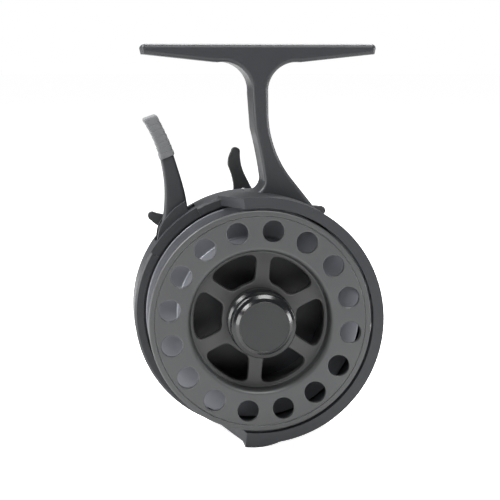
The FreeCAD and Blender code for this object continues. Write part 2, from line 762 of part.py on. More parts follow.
def make_clutch_yoke():
    """Forked plate that holds the pinion's groove and rides on the two posts."""
    body = new_body("clutch_yoke")
    plan = new_sketch(body, "yoke_plan", height=YOKE_FRONT)
    add_outline(plan, (-15.4, -6.6, 0), [
        (-14.6, -8.2, -13.0, -8.9),
        (-6.0, -8.9),
        (0, -7.2, 6.0, -8.9),
        (13.0, -8.9),
        (14.6, -8.2, 15.4, -6.6),
        (15.4, 1.2),
        (14.9, 2.1, 14.0, 2.4),
        (-14.0, 2.4),
        (-14.9, 2.1, -15.4, 1.2),
    ])
    pad(body, "yoke_pad", plan, YOKE_WALL)
    cuts = new_sketch(body, "yoke_cuts", height=YOKE_FRONT)
    add_slot(cuts, SPOOL_AXIS, GROOVE_RADIUS + 0.12, 90, 0, 12)
    for centre in POSTS:
        add_circle(cuts, centre, POST_RADIUS + FIT)
    for centre in wedge_places():
        low = -WEDGE_RUN - FIT
        high = -WEDGE_RUN + WEDGE_RISE + WEDGE_FLAT + GAP
        half = WEDGE_WIDTH / 2 + GAP
        corners = [(low, -half), (high, -half), (high, half), (low, half)]
        points = [centre + polar(u, SLIDE_LEAN) + polar(v, SLIDE_LEAN + 90) for u, v in corners]
        add_outline(cuts, tuple(points[0]), [(q.x, q.y) for q in points[1:]])
    pocket(body, "yoke_cutting", cuts, YOKE_WALL)
    return place(body)


def make_post(number, centre):
    """Post pressed into the back plate, that reaches the rear cover."""
    front = PLATE_REAR + POST_SEAT
    return ring(f"yoke_post_{number}", 0, POST_RADIUS, front, front - CASE_REAR - 0.05, centre)


SPRING_WIRE = 0.45
SPRING_COILS = 5
COIL_STEPS = 10


def make_coil(label, centre, radius, wire, front, rear, coils):
    """Compression spring inside the case: a six-sided wire along a helix of short steps."""
    coil = doc.addObject("Part::Feature", label)
    coil.Label = label
    rise = (rear - front) / coils
    step = FULL_TURN / COIL_STEPS
    turns = [number * step for number in range(COIL_STEPS * coils + 1)]
    path = Part.makePolygon([polar(radius, t, front + rise * t / FULL_TURN) for t in turns])
    start = polar(radius, 0, front)
    corners = [start + Vector(point.x, 0, point.y)
               for point in (polar(wire / 2, side) for side in range(0, 361, 60))]
    coil.Shape = path.makePipeShell([Part.makePolygon(corners)], True, False, 1)
    place(coil)
    shift_to(coil, centre)
    return coil


# Gears on the drive axis and the spool's axis.

PRESSURE = math.radians(20)
ADDENDUM = 0.9
DEDENDUM = 1.2
BACKLASH = 0.12


def involute(angle):
    """Involute function of a pressure angle."""
    return math.tan(angle) - angle


def gap_half_angle(teeth, radius):
    """Half the angle of the gap between two teeth at a radius."""
    module = size("gear_module")
    pitch = module * teeth / 2
    base = pitch * math.cos(PRESSURE)
    at = math.acos(min(1.0, base / radius))
    thickness = math.pi * module / 2 - BACKLASH
    tooth = thickness / (2 * pitch) + involute(PRESSURE) - involute(at)
    return math.pi / teeth - tooth


def cut_teeth(body, teeth, height, length, phase):
    """Cut one gap between two involute flanks and repeat it round the gear."""
    module = size("gear_module")
    pitch = module * teeth / 2
    root = pitch - DEDENDUM * module
    top = pitch + ADDENDUM * module + 0.4
    base = max(root, pitch * math.cos(PRESSURE))
    low = max(root + 0.02, base + 0.01)
    mid = (low + top) / 2
    plan = new_sketch(body, body.Label + "_gap_plan", height=height)

    def flank(radius, side):
        turn = math.degrees(gap_half_angle(teeth, max(radius, base))) * side + phase
        return polar(radius, turn)

    start = flank(root, -1)
    steps = []
    if low > root + 0.05:
        steps.append(tuple(flank(low, -1))[:2])
    steps.append(tuple(flank(mid, -1))[:2] + tuple(flank(top, -1))[:2])
    steps.append(tuple(flank(top, 1))[:2])
    steps.append(tuple(flank(mid, 1))[:2] + tuple(flank(max(low, root), 1))[:2])
    if low > root + 0.05:
        steps.append(tuple(flank(root, 1))[:2])
    add_outline(plan, tuple(start), steps)
    cut = pocket(body, body.Label + "_gap", plan, length)
    return polar_pattern(body, body.Label + "_teeth", [cut], teeth)


PINION_TEETH_FRONT = YOKE_FRONT - YOKE_WALL - 0.2
PINION_TEETH_LENGTH = 4.2
LUG_FRONT = SPOOL_REAR + 1.6
LUG_RADIUS = 4.6
LUG_WIDTH = 2.8
PINION_BORE = size("axle_radius") + FIT
GEAR_FRONT = PINION_TEETH_FRONT - 1.3
GEAR_WALL = 3.4


def make_pinion():
    """Pinion with drive lugs in front, a groove for the yoke, and teeth behind."""
    body = new_body("pinion_gear")
    tip = size("gear_module") * (size("pinion_teeth") / 2 + ADDENDUM)
    rear = PINION_TEETH_FRONT - PINION_TEETH_LENGTH
    shoulder = PLATE_FRONT + 0.2
    profile = new_sketch(body, "pinion_profile", "XZ_Plane")
    add_outline(profile, (PINION_BORE, LUG_FRONT, 0), [
        (LUG_RADIUS, LUG_FRONT),
        (LUG_RADIUS, shoulder),
        (JOURNAL_RADIUS, shoulder),
        (JOURNAL_RADIUS, SLIDE_REAR - 0.1),
        (GROOVE_RADIUS, SLIDE_REAR - 0.1),
        (GROOVE_RADIUS, PINION_TEETH_FRONT),
        (tip, PINION_TEETH_FRONT),
        (tip, rear),
        (PINION_BORE, rear),
    ])
    revolve(body, "pinion_turning", profile)
    lugs = new_sketch(body, "lug_gap_plan", height=LUG_FRONT)
    half = LUG_WIDTH / 2
    far = LUG_RADIUS + 1
    add_outline(lugs, (-far, half, 0), [(far, half), (far, far), (-far, far)])
    add_outline(lugs, (-far, -half, 0), [(far, -half), (far, -far), (-far, -far)])
    pocket(body, "lug_flats", lugs, LUG_FRONT - shoulder)
    cut_teeth(body, int(size("pinion_teeth")), PINION_TEETH_FRONT, PINION_TEETH_LENGTH,
              size("drive_lean"))
    return place(body)


CUP_RADIUS = 10.9
CUP_DEPTH = 1.6
DRAG_OUTER = 10.4
FRICTION_WALL = 0.8
GEAR_BORE = size("shaft_radius") + FIT
GEAR_REAR = GEAR_FRONT - GEAR_WALL


def make_drive_gear():
    """Drive gear with a cup in its rear for the drag washers."""
    body = new_body("drive_gear")
    teeth = int(size("gear_teeth"))
    tip = size("gear_module") * (teeth / 2 + ADDENDUM)
    profile = new_sketch(body, "gear_profile", "XZ_Plane")
    add_outline(profile, (GEAR_BORE, GEAR_FRONT, 0), [
        (tip, GEAR_FRONT),
        (tip, GEAR_REAR),
        (CUP_RADIUS, GEAR_REAR),
        (CUP_RADIUS, GEAR_REAR + CUP_DEPTH),
        (GEAR_BORE, GEAR_REAR + CUP_DEPTH),
    ])
    revolve(body, "gear_turning", profile)
    tooth = FULL_TURN / teeth
    toward_pinion = size("drive_lean") - 180
    cut_teeth(body, teeth, GEAR_FRONT, GEAR_WALL, toward_pinion + tooth / 2)
    place(body)
    shift_to(body, DRIVE_AXIS)
    return body


# Drive shaft, drag stack, one-way bearing, star drag and handle.

SHAFT_FRONT = PLATE_FRONT - BUSH_SKIN - 0.2
BUSH_WALL = 1.45
BUSH_REAR = PLATE_REAR - BUSH_STAND
FLANGE_RADIUS = 9.0
FLANGE_WALL = 0.9
FRONT_WASHER = 0.7
FLANGE_REAR = GEAR_FRONT + FRONT_WASHER
SLEEVE_RADIUS = 4.0
SLEEVE_FRONT = GEAR_REAR + CUP_DEPTH - FRICTION_WALL - 0.9
BEARING_REAR = CASE_REAR - 5.6
SLEEVE_REAR = BEARING_REAR - 1.6
STAR_SPRING = 1.0
STAR_FRONT = SLEEVE_REAR - STAR_SPRING
STAR_HUB = 3.8
ARM_FRONT = STAR_FRONT - STAR_HUB - 0.4
ARM_WALL = 2.6
ARM_REAR = ARM_FRONT - ARM_WALL
SEAT_RADIUS = 2.6
THREAD_RADIUS = 2.2
NUT_WALL = 2.8
SHAFT_REAR = ARM_REAR - NUT_WALL - 0.6
NEEDLE_RADIUS = 7.0


def make_drive_shaft():
    """Turned shaft with the drag flange near its front and a thread behind."""
    radius = size("shaft_radius")
    front = BUSH_RADIUS - BUSH_WALL
    profile = [
        (0, SHAFT_FRONT),
        (front, SHAFT_FRONT),
        (front, FLANGE_REAR + FLANGE_WALL),
        (FLANGE_RADIUS, FLANGE_REAR + FLANGE_WALL),
        (FLANGE_RADIUS, FLANGE_REAR),
        (radius, FLANGE_REAR),
        (radius, ARM_FRONT),
        (SEAT_RADIUS, ARM_FRONT),
        (SEAT_RADIUS, ARM_REAR),
        (THREAD_RADIUS, ARM_REAR),
        (THREAD_RADIUS, SHAFT_REAR),
        (0, SHAFT_REAR),
    ]
    return turned("drive_shaft", profile, DRIVE_AXIS)


STAR_HUB_RADIUS = 8.2
STAR_HOLE = 1.25


def make_star_drag():
    """Five-armed star wheel whose arms lean and taper to blunt tips."""
    body = new_body("star_drag")
    tip = size("star_radius")
    profile = new_sketch(body, "star_profile", "XZ_Plane")
    bore = size("shaft_radius") + FIT
    wall = size("star_wall")
    hub_rear = STAR_FRONT - STAR_HUB
    add_outline(profile, (bore, STAR_FRONT, 0), [
        (STAR_HUB_RADIUS, STAR_FRONT),
        (STAR_HUB_RADIUS + 3, STAR_FRONT - 0.5),
        (STAR_HUB_RADIUS + 3, STAR_FRONT - wall - 0.5),
        (STAR_HUB_RADIUS - 1, STAR_FRONT - wall - 0.5),
        (STAR_HUB_RADIUS - 2, hub_rear),
        (bore, hub_rear),
    ])
    revolve(body, "star_turning", profile)
    arm = new_sketch(body, "arm_plan", height=STAR_FRONT - 0.5)
    phase = 91.1

    def at(u, v):
        point = polar(u, phase) + polar(v, phase + 90)
        return (point.x, point.y)

    add_outline(arm, at(9.5, 6.0) + (0,), [
        at(11.9, 2.2) + at(16.0, 0.9),
        at(19.2, 1.4) + at(22.2, 2.4),
        at(24.9, 2.1) + at(tip - 1.2, 1.35),
        at(tip, 0.1) + at(tip - 1.1, -1.15),
        at(22.0, -1.55) + at(19.0, -2.7),
        at(13.5, -5.6) + at(9.0, -8.6),
    ])
    one = pad(body, "star_arm", arm, wall)
    hole = new_sketch(body, "arm_hole_plan", height=STAR_FRONT - 0.5)
    spot = at(14.4, -1.8)
    add_circle(hole, Vector(spot[0], spot[1], 0), STAR_HOLE)
    cut = pocket(body, "arm_hole", hole, wall)
    polar_pattern(body, "star_arms", [one, cut], 5)
    place(body)
    shift_to(body, DRIVE_AXIS)
    return body


CRANK_LEAN = -82.0
SPINDLE_RADIUS = 1.6


def make_handle_arm():
    """Flat handle arm, wide at the shaft and narrower at the knob."""
    body = new_body("handle_arm")
    reach = size("crank_reach")
    plan = new_sketch(body, "arm_outline", height=ARM_FRONT)
    way = CRANK_LEAN

    def at(u, v):
        point = polar(u, way) + polar(v, way + 90)
        return (point.x, point.y)

    add_outline(plan, at(0, 6.0) + (0,), [
        at(-6.0, 0) + at(0, -6.0),
        at(reach * 0.35, -3.6) + at(reach * 0.62, -3.2),
        at(reach, -4.2),
        at(reach + 4.2, 0) + at(reach, 4.2),
        at(reach * 0.62, 3.2),
        at(reach * 0.35, 3.6) + at(0, 6.0),
    ])
    pad(body, "arm_pad", plan, ARM_WALL)
    holes = new_sketch(body, "arm_holes", height=ARM_FRONT)
    add_circle(holes, Vector(0, 0, 0), SEAT_RADIUS + 0.01)
    end = at(reach, 0)
    add_circle(holes, Vector(end[0], end[1], 0), SPINDLE_RADIUS)
    pocket(body, "arm_drilling", holes, ARM_WALL)
    place(body)
    shift_to(body, DRIVE_AXIS)
    return body


KNOB_AXIS = DRIVE_AXIS + polar(size("crank_reach"), CRANK_LEAN)
GRIP_FRONT = ARM_REAR - GAP
GRIP_REAR = GRIP_FRONT - size("grip_length")
GRIP_BORE = 2.2
CAP_SEAT = 4.4
CAP_DEPTH = 1.4


def make_handle_knob():
    """Barrel grip, waisted in the middle, that turns on its spindle."""
    radius = size("grip_radius")
    length = size("grip_length")
    body = new_body("handle_knob")
    profile = new_sketch(body, "grip_profile", "XZ_Plane")
    add_outline(profile, (GRIP_BORE, GRIP_FRONT, 0), [
        (radius * 0.62, GRIP_FRONT),
        (radius * 0.86, GRIP_FRONT - length * 0.06, radius * 0.9, GRIP_FRONT - length * 0.2),
        (radius * 0.78, GRIP_FRONT - length * 0.45, radius * 0.96, GRIP_FRONT - length * 0.75),
        (radius, GRIP_FRONT - length * 0.92, radius * 0.82, GRIP_REAR),
        (CAP_SEAT, GRIP_REAR),
        (CAP_SEAT, GRIP_REAR + CAP_DEPTH),
        (GRIP_BORE, GRIP_REAR + CAP_DEPTH),
    ])
    revolve(body, "grip_turning", profile)
    place(body)
    shift_to(body, KNOB_AXIS)
    return body


# Spool, its bearings and the front tension knob.

BEARING_DEPTH = size("web_depth")
REAR_BEARING = BEARING_DEPTH + 8.0
DOG_RADIUS = 6.4
DOG_DEPTH = 2.2


def make_spool():
    """Large-arbor spool turned from one blank, with a spoked web and drilled face."""
    body = new_body("spool")
    rim = size("spool_radius")
    wall = size("flange_wall")
    arbor = size("arbor_radius")
    inside = arbor - size("arbor_wall")
    web = -size("web_depth")
    back = web - size("web_wall")
    hub = size("hub_radius")
    seat = size("bearing_radius")
    shoulder = seat - 1.1
    first = web - size("bearing_width")
    second = -REAR_BEARING
    profile = new_sketch(body, "spool_profile", "XZ_Plane")
    add_outline(profile, (inside + 1.2, 0, 0), [
        (rim - 0.5, 0),
        (rim, -0.5),
        (rim, -wall),
        (arbor, -wall - 0.6),
        (arbor, SPOOL_REAR + wall + 0.6),
        (rim, SPOOL_REAR + wall),
        (rim, SPOOL_REAR + 0.4),
        (rim - 0.4, SPOOL_REAR),
        (inside, SPOOL_REAR),
        (inside, back),
        (hub + 1, back),
        (hub, back - 1),
        (hub, SPOOL_REAR),
        (DOG_RADIUS, SPOOL_REAR),
        (DOG_RADIUS, SPOOL_REAR + DOG_DEPTH),
        (seat, SPOOL_REAR + DOG_DEPTH),
        (seat, second),
        (shoulder, second),
        (shoulder, first),
        (seat, first),
        (seat, web),
        (inside - 0.8, web),
        (inside, web + 0.8),
        (inside, -1.2),
        (inside + 0.35, -0.35, inside + 1.2, 0),
    ])
    turning = revolve(body, "spool_turning", profile)

    ports = new_sketch(body, "port_plan")
    add_circle(ports, polar(size("port_circle"), size("port_phase")), size("port_radius"),
               "Sizes.port_radius")
    port = pocket(body, "port", ports, wall + 0.6)
    polar_pattern(body, "ports", [port], int(size("port_count")))

    plan = new_sketch(body, "window_plan", height=web)
    step = FULL_TURN / size("spoke_count")
    lean = 85.6
    half = size("spoke_width") / 2
    inner = size("window_inner")
    outer = size("window_outer")
    low = lean + math.degrees(math.asin(half / inner))
    low_end = lean + step - math.degrees(math.asin(half / inner))
    high = lean + math.degrees(math.asin(half / outer))
    high_end = lean + step - math.degrees(math.asin(half / outer))
    a = polar(inner, low)
    b = polar(outer, high)
    c = polar(outer, high_end)
    d = polar(inner, low_end)
    top = polar(outer, lean + step / 2)
    bottom = polar(inner, lean + step / 2)
    add_outline(plan, tuple(a), [
        (b.x, b.y), (top.x, top.y, c.x, c.y), (d.x, d.y), (bottom.x, bottom.y, a.x, a.y)])
    window = pocket(body, "window", plan, size("web_wall"))
    windows = polar_pattern(body, "windows", [window], int(size("spoke_count")))

    def window_corner(edge):
        box = edge.BoundBox
        tall = abs(box.ZLength - size("web_wall")) < 0.01
        reach = math.hypot(edge.CenterOfMass.x, edge.CenterOfMass.y)
        return tall and box.XLength < 0.01 and box.YLength < 0.01 and 9 < reach < 19

    round_edges(body, "window_rounding", windows, window_corner, 1.5)
    return place(body)


def make_drive_dog():
    """Steel insert in the spool's hub, slotted for the pinion's lugs."""
    body = new_body("drive_dog")
    front = SPOOL_REAR + DOG_DEPTH
    profile = new_sketch(body, "dog_profile", "XZ_Plane")
    inner = size("axle_radius") + GAP
    add_outline(profile, (inner, front, 0), [
        (DOG_RADIUS - 0.01, front),
        (DOG_RADIUS - 0.01, SPOOL_REAR),
        (inner, SPOOL_REAR),
    ])
    revolve(body, "dog_turning", profile)
    slot = new_sketch(body, "dog_slot_plan", height=SPOOL_REAR)
    reach = LUG_RADIUS - 0.6
    add_slot(slot, SPOOL_AXIS, LUG_WIDTH / 2 + GAP, 0, -reach, reach)
    pocket(body, "dog_slot", slot, DOG_DEPTH - GAP, back=False)
    return place(body)


def make_bearing(label, front):
    """Shielded ball bearing, with its two races shown by shallow steps."""
    inner = size("axle_radius") + 0.01
    outer = size("bearing_radius") - 0.01
    rear = front - size("bearing_width")
    step = 0.2
    near = inner + 0.7
    far = outer - 0.7
    return turned(label, [
        (inner, front), (near, front), (near, front - step), (far, front - step), (far, front),
        (outer, front), (outer, rear), (far, rear), (far, rear + step), (near, rear + step),
        (near, rear), (inner, rear)])


KNOB_FRONT = 8.4
KNOB_SKIRT = 0.5
AXLE_FRONT = 3.6
AXLE_FOOT = 3.0
AXLE_SEAT = 3.4


def make_tension_knob():
    """Stepped round knob: a skirt, a finger groove and a bevelled crown."""
    radius = size("knob_radius")
    skirt = radius + 0.3
    web = -size("web_depth") + GAP
    pocket_radius = 5.2
    return turned("tension_knob", [
        (size("axle_radius") - 0.2 + FIT, -1.0),
        (size("axle_radius") - 0.2 + FIT, AXLE_FRONT + 0.4),
        (0, AXLE_FRONT + 0.4),
        (0, KNOB_FRONT),
        (6.6, KNOB_FRONT),
        (7.6, KNOB_FRONT - 1.0),
        (radius - 0.3, KNOB_FRONT - 1.4),
        (radius, KNOB_FRONT - 1.8),
        (radius, 3.6),
        (radius - 1.0, 2.8),
        (radius - 1.0, 1.6),
        (skirt - 0.3, KNOB_SKIRT + 0.3),
        (skirt, KNOB_SKIRT),
        (skirt, web),
        (pocket_radius, web),
        (pocket_radius, -1.0),
    ])


def make_axle():
    """Fixed axle: pressed into the cover behind, threaded in front."""
    radius = size("axle_radius")
    front_thread = -1.0
    return turned("axle", [
        (0, AXLE_FRONT),
        (radius - 0.4, AXLE_FRONT),
        (radius - 0.2, AXLE_FRONT - 0.3),
        (radius - 0.2, front_thread),
        (radius, front_thread - 0.2),
        (radius, CASE_REAR),
        (AXLE_FOOT, CASE_REAR),
        (AXLE_FOOT, CASE_REAR - AXLE_SEAT),
        (0, CASE_REAR - AXLE_SEAT),
    ])


def screw_places():
    """Centres of the cover screws: five into the case and one into the trigger housing."""
    places = [polar(SCREW_CIRCLE, turn) for turn in COVER_SCREWS]
    places.append(polar(HOUSING_SCREW_CIRCLE, HOUSING_SCREW))
    return places


def make_rear_cover():
    """Dished rear cover with bosses for the axle and the one-way bearing."""
    body = new_body("rear_cover")
    outer = SHELL_RADIUS
    profile = new_sketch(body, "cover_profile", "XZ_Plane")
    add_outline(profile, (AXLE_FOOT, CASE_REAR, 0), [
        (outer, CASE_REAR),
        (outer, CASE_REAR - 1.0),
        (outer - 0.4, COVER_REAR + 0.3, outer - 1.6, COVER_REAR),
        (8.0, COVER_REAR),
        (6.4, COVER_REAR - 0.4, 5.6, CASE_REAR - AXLE_SEAT - 1.0),
        (0, CASE_REAR - AXLE_SEAT - 1.0),
        (0, CASE_REAR - AXLE_SEAT),
        (AXLE_FOOT, CASE_REAR - AXLE_SEAT),
    ])
    revolve(body, "cover_turning", profile)
    boss = new_sketch(body, "bearing_boss_plan", height=CASE_REAR)
    add_circle(boss, DRIVE_AXIS, NEEDLE_RADIUS + 1.7)
    pad(body, "bearing_boss", boss, CASE_REAR - BEARING_REAR + 0.6)
    bore = new_sketch(body, "bearing_bore_plan", height=CASE_REAR)
    add_circle(bore, DRIVE_AXIS, NEEDLE_RADIUS)
    pocket(body, "bearing_bore", bore, CASE_REAR - BEARING_REAR)
    way = new_sketch(body, "sleeve_way_plan", height=CASE_REAR)
    add_circle(way, DRIVE_AXIS, SLEEVE_RADIUS + 0.4)
    pocket(body, "sleeve_way", way, CASE_REAR - BEARING_REAR + 2)
    holes = new_sketch(body, "cover_hole_plan", height=CASE_REAR)
    for centre in screw_places():
        add_circle(holes, centre, 1.1)
    pocket(body, "cover_holes", holes, size("cover_wall"))
    heads = new_sketch(body, "cover_head_plan", height=COVER_REAR)
    for centre in screw_places():
        add_circle(heads, centre, 2.1)
    pocket(body, "cover_head_seats", heads, 1.1, back=False)
    return place(body)


def make_cover_screws():
    """Equal screws through the rear cover."""
    group = doc.addObject("Part::Compound", "cover_screws")
    group.Label = "cover_screws"
    links = []
    for number, centre in enumerate(screw_places()):
        head = Part.makeCylinder(2.0, 1.0, Vector(centre.x, centre.y, COVER_REAR), Vector(0, 0, 1))
        shank = Part.makeCylinder(SCREW_HOLE - 0.01, SCREW_REACH + 1.4,
                                  Vector(centre.x, centre.y, COVER_REAR + 1.0), Vector(0, 0, 1))
        screw = doc.addObject("Part::Feature", f"cover_screw_{number}")
        screw.Shape = head.fuse(shank)
        links.append(screw)
    group.Links = links
    return place(group)


make_frame()
make_rear_cover()
make_cover_screws()
make_axle()
make_trigger_housing()
make_trigger_pin()
make_trigger_lever()
make_trigger_pad()
make_coil("trigger_spring", TRIGGER_PIVOT, 2.1, SPRING_WIRE, LEVER_REAR + RECESS_DEPTH - 0.3,
          LEVER_REAR + 0.3, 4)
make_clutch_slide()
make_clutch_yoke()
for number, centre in enumerate(POSTS):
    make_post(number, centre)
    make_coil(f"yoke_spring_{number}", centre, POST_RADIUS + 0.75, SPRING_WIRE,
              YOKE_FRONT - YOKE_WALL - 0.3, CASE_REAR + 0.3, SPRING_COILS)
make_pinion()
make_drive_gear()
ring("shaft_bush", BUSH_RADIUS - BUSH_WALL + FIT, BUSH_RADIUS - 0.01, PLATE_FRONT - BUSH_SKIN,
     PLATE_FRONT - BUSH_SKIN - BUSH_REAR, DRIVE_AXIS)
make_drive_shaft()
ring("front_drag_washer", size("shaft_radius") + 0.1, FLANGE_RADIUS - 0.2, FLANGE_REAR,
     FRONT_WASHER, DRIVE_AXIS)
CUP_FLOOR = GEAR_REAR + CUP_DEPTH
ring("rear_drag_washer", size("shaft_radius") + 0.2, DRAG_OUTER, CUP_FLOOR, FRICTION_WALL,
     DRIVE_AXIS)
ring("pressure_plate", size("shaft_radius") + 0.01, DRAG_OUTER - 0.2, CUP_FLOOR - FRICTION_WALL,
     0.9, DRIVE_AXIS)
ring("clutch_sleeve", size("shaft_radius") + 0.01, SLEEVE_RADIUS, SLEEVE_FRONT,
     SLEEVE_FRONT - SLEEVE_REAR, DRIVE_AXIS)
ring("one_way_bearing", SLEEVE_RADIUS + FIT, NEEDLE_RADIUS - 0.01, CASE_REAR,
     CASE_REAR - BEARING_REAR, DRIVE_AXIS)
DISH_BORE = size("shaft_radius") + 0.1
turned("star_springs", [
    (DISH_BORE, SLEEVE_REAR),
    (DISH_BORE + 1.5, SLEEVE_REAR),
    (DISH_BORE + 3.1, STAR_FRONT + 0.4),
    (DISH_BORE + 3.1, STAR_FRONT),
    (DISH_BORE + 1.7, STAR_FRONT),
    (DISH_BORE, SLEEVE_REAR - 0.5),
], DRIVE_AXIS)
make_star_drag()
make_handle_arm()
NUT_BORE = THREAD_RADIUS + 0.01
NUT_RADIUS = 5.0
NUT_BEVEL = 0.6
turned("handle_nut", [
    (NUT_BORE, ARM_REAR),
    (NUT_RADIUS, ARM_REAR),
    (NUT_RADIUS, ARM_REAR - NUT_WALL + NUT_BEVEL),
    (NUT_RADIUS - NUT_BEVEL, ARM_REAR - NUT_WALL),
    (NUT_BORE, ARM_REAR - NUT_WALL),
], DRIVE_AXIS)
make_handle_knob()
SPINDLE_REAR = GRIP_REAR + CAP_DEPTH + 0.1
CAP_FRONT = GRIP_REAR + CAP_DEPTH - 0.3
turned("knob_spindle", [
    (0, ARM_FRONT),
    (SPINDLE_RADIUS - 0.01, ARM_FRONT),
    (SPINDLE_RADIUS - 0.01, ARM_REAR),
    (GRIP_BORE - FIT, ARM_REAR),
    (GRIP_BORE - FIT, SPINDLE_REAR),
    (0, SPINDLE_REAR),
], KNOB_AXIS)
turned("knob_cap", [
    (0, CAP_FRONT),
    (CAP_SEAT - 0.01, CAP_FRONT),
    (CAP_SEAT - 0.01, GRIP_REAR),
    (2.8, GRIP_REAR - 0.7),
    (0, GRIP_REAR - 0.9),
], KNOB_AXIS)
make_spool()
make_drive_dog()
make_bearing("front_bearing", -BEARING_DEPTH)
make_bearing("rear_bearing", -REAR_BEARING)
ring("bearing_spacer", size("axle_radius") + 0.01, size("axle_radius") + 0.9,
     -BEARING_DEPTH - size("bearing_width"), REAR_BEARING - BEARING_DEPTH - size("bearing_width"))
make_tension_knob()
ring("tension_washer", size("axle_radius") + FIT, 3.4, -BEARING_DEPTH + 0.8, 0.75)
make_coil("tension_spring", SPOOL_AXIS, 2.9, SPRING_WIRE, -1.3, -BEARING_DEPTH + 1.1, 3)

doc.recompute()
broken = [f.Name for f in doc.Objects if "Invalid" in f.State or "Error" in f.State]
if broken:
    raise SystemExit("not built: " + ", ".join(broken))

os.makedirs("parts", exist_ok=True)
for piece in sub_parts:
    if piece.Shape.isNull() or not piece.Shape.isValid():
        raise SystemExit("no valid shape: " + piece.Label)
    piece.Shape.exportStep("parts/" + piece.Label + ".step")
    print(piece.Label, len(piece.Shape.Solids), round(piece.Shape.Volume, 1))
print(len(sub_parts), "parts")
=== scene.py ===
"""Looks of the inline fly reel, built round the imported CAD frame.

Lengths inside the classes are millimetres in the reel's own view: x to the right, y up from the
spool's axis and d the depth behind the spool's face. Meshes are written in metres in the row frame.
"""

import json
import logging
import math
from dataclasses import dataclass
from enum import Enum
from typing import Sequence

import bmesh
import bpy
import numpy as np
from mathutils import Matrix
from mathutils import Vector

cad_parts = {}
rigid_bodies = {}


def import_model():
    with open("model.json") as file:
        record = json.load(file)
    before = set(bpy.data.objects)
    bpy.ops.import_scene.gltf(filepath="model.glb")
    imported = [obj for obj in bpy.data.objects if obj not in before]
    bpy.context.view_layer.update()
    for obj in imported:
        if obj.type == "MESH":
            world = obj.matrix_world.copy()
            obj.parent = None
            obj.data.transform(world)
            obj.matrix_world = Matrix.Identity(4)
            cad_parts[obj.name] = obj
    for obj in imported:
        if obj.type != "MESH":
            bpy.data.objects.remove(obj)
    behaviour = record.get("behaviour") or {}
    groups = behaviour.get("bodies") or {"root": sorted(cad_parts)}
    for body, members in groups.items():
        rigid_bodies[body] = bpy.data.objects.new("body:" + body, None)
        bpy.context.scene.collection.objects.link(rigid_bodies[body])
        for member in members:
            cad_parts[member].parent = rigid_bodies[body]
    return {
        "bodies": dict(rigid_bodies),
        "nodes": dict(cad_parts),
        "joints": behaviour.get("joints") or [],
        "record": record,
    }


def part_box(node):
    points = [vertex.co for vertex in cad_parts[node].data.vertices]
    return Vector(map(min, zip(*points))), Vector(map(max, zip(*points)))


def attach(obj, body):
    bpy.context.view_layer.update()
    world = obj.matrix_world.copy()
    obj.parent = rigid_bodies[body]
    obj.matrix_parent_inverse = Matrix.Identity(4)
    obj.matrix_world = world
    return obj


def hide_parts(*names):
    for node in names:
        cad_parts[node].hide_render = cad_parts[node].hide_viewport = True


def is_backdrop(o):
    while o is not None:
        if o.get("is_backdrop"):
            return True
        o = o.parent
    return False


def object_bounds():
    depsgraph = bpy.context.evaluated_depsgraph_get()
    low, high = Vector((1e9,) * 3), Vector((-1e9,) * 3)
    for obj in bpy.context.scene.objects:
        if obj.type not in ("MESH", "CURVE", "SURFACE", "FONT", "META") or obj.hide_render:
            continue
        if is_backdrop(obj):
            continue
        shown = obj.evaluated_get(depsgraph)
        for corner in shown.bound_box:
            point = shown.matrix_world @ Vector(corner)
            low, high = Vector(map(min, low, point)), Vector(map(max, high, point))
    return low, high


LOG = logging.getLogger("fly_reel")
MM = 0.001
FULL_TURN = 2.0 * math.pi
AROUND = 192
SHARP_ANGLE = math.radians(32.0)
WELD_GRIDS = 2e-6
WELD_NODES = 1e-6
PATCH_MM = 9.0
EDGE_STARTS = 0.995
EDGE_IS_FULL = 0.86
RINGS_IN_WAVE = 20.0
BUMP_STRENGTH = 0.5
COAT_ROUGHNESS = 0.08
FLAT_WEIGHT = 80
SENSOR_MM = 36.0

Array = np.ndarray
Material = bpy.types.Material
Object = bpy.types.Object
Point = tuple[float, float]
Place = tuple[float, float, float]
Looks = dict[str, Material]


def linear(hex_colour: str) -> tuple[float, float, float, float]:
    """Turn an sRGB hex colour into linear RGBA.

    Args:
        hex_colour: Colour such as "#2c2e30".

    Returns:
        Linear red, green and blue with an alpha of one.
    """
    parts = [int(hex_colour[i:i + 2], 16) / 255.0 for i in (1, 3, 5)]
    lin = [c / 12.92 if c <= 0.04045 else ((c + 0.055) / 1.055) ** 2.4 for c in parts]
    return (lin[0], lin[1], lin[2], 1.0)


def add_node(tree: bpy.types.NodeTree, kind: str, links: dict | None = None,
             **settings: str | int) -> bpy.types.Node:
    """Add a shader node with its settings and its inputs.

    Args:
        tree: Node tree to add to.
        kind: Blender's identifier of the node, without its "ShaderNode".
        links: Inputs by name or index: a socket to link, or a value to set.
        settings: Properties of the node.

    Returns:
        The new node.
    """
    node = tree.nodes.new("ShaderNode" + kind)
    for name, value in settings.items():
        setattr(node, name, value)
    for name, value in (links or {}).items():
        if isinstance(value, bpy.types.NodeSocket):
            tree.links.new(value, node.inputs[name])
        else:
            node.inputs[name].default_value = value
    return node


class Grain(Enum):
    """How a surface was made, which sets the pattern of its fine relief."""

    MOULDED = "spark-eroded mould texture"
    TURNED = "concentric tool marks"
    BLASTED = "bead-blasted grain"
    GROUND = "straight grinding lines"
    SMOOTH = "polished"
    FELT = "matted fibres"


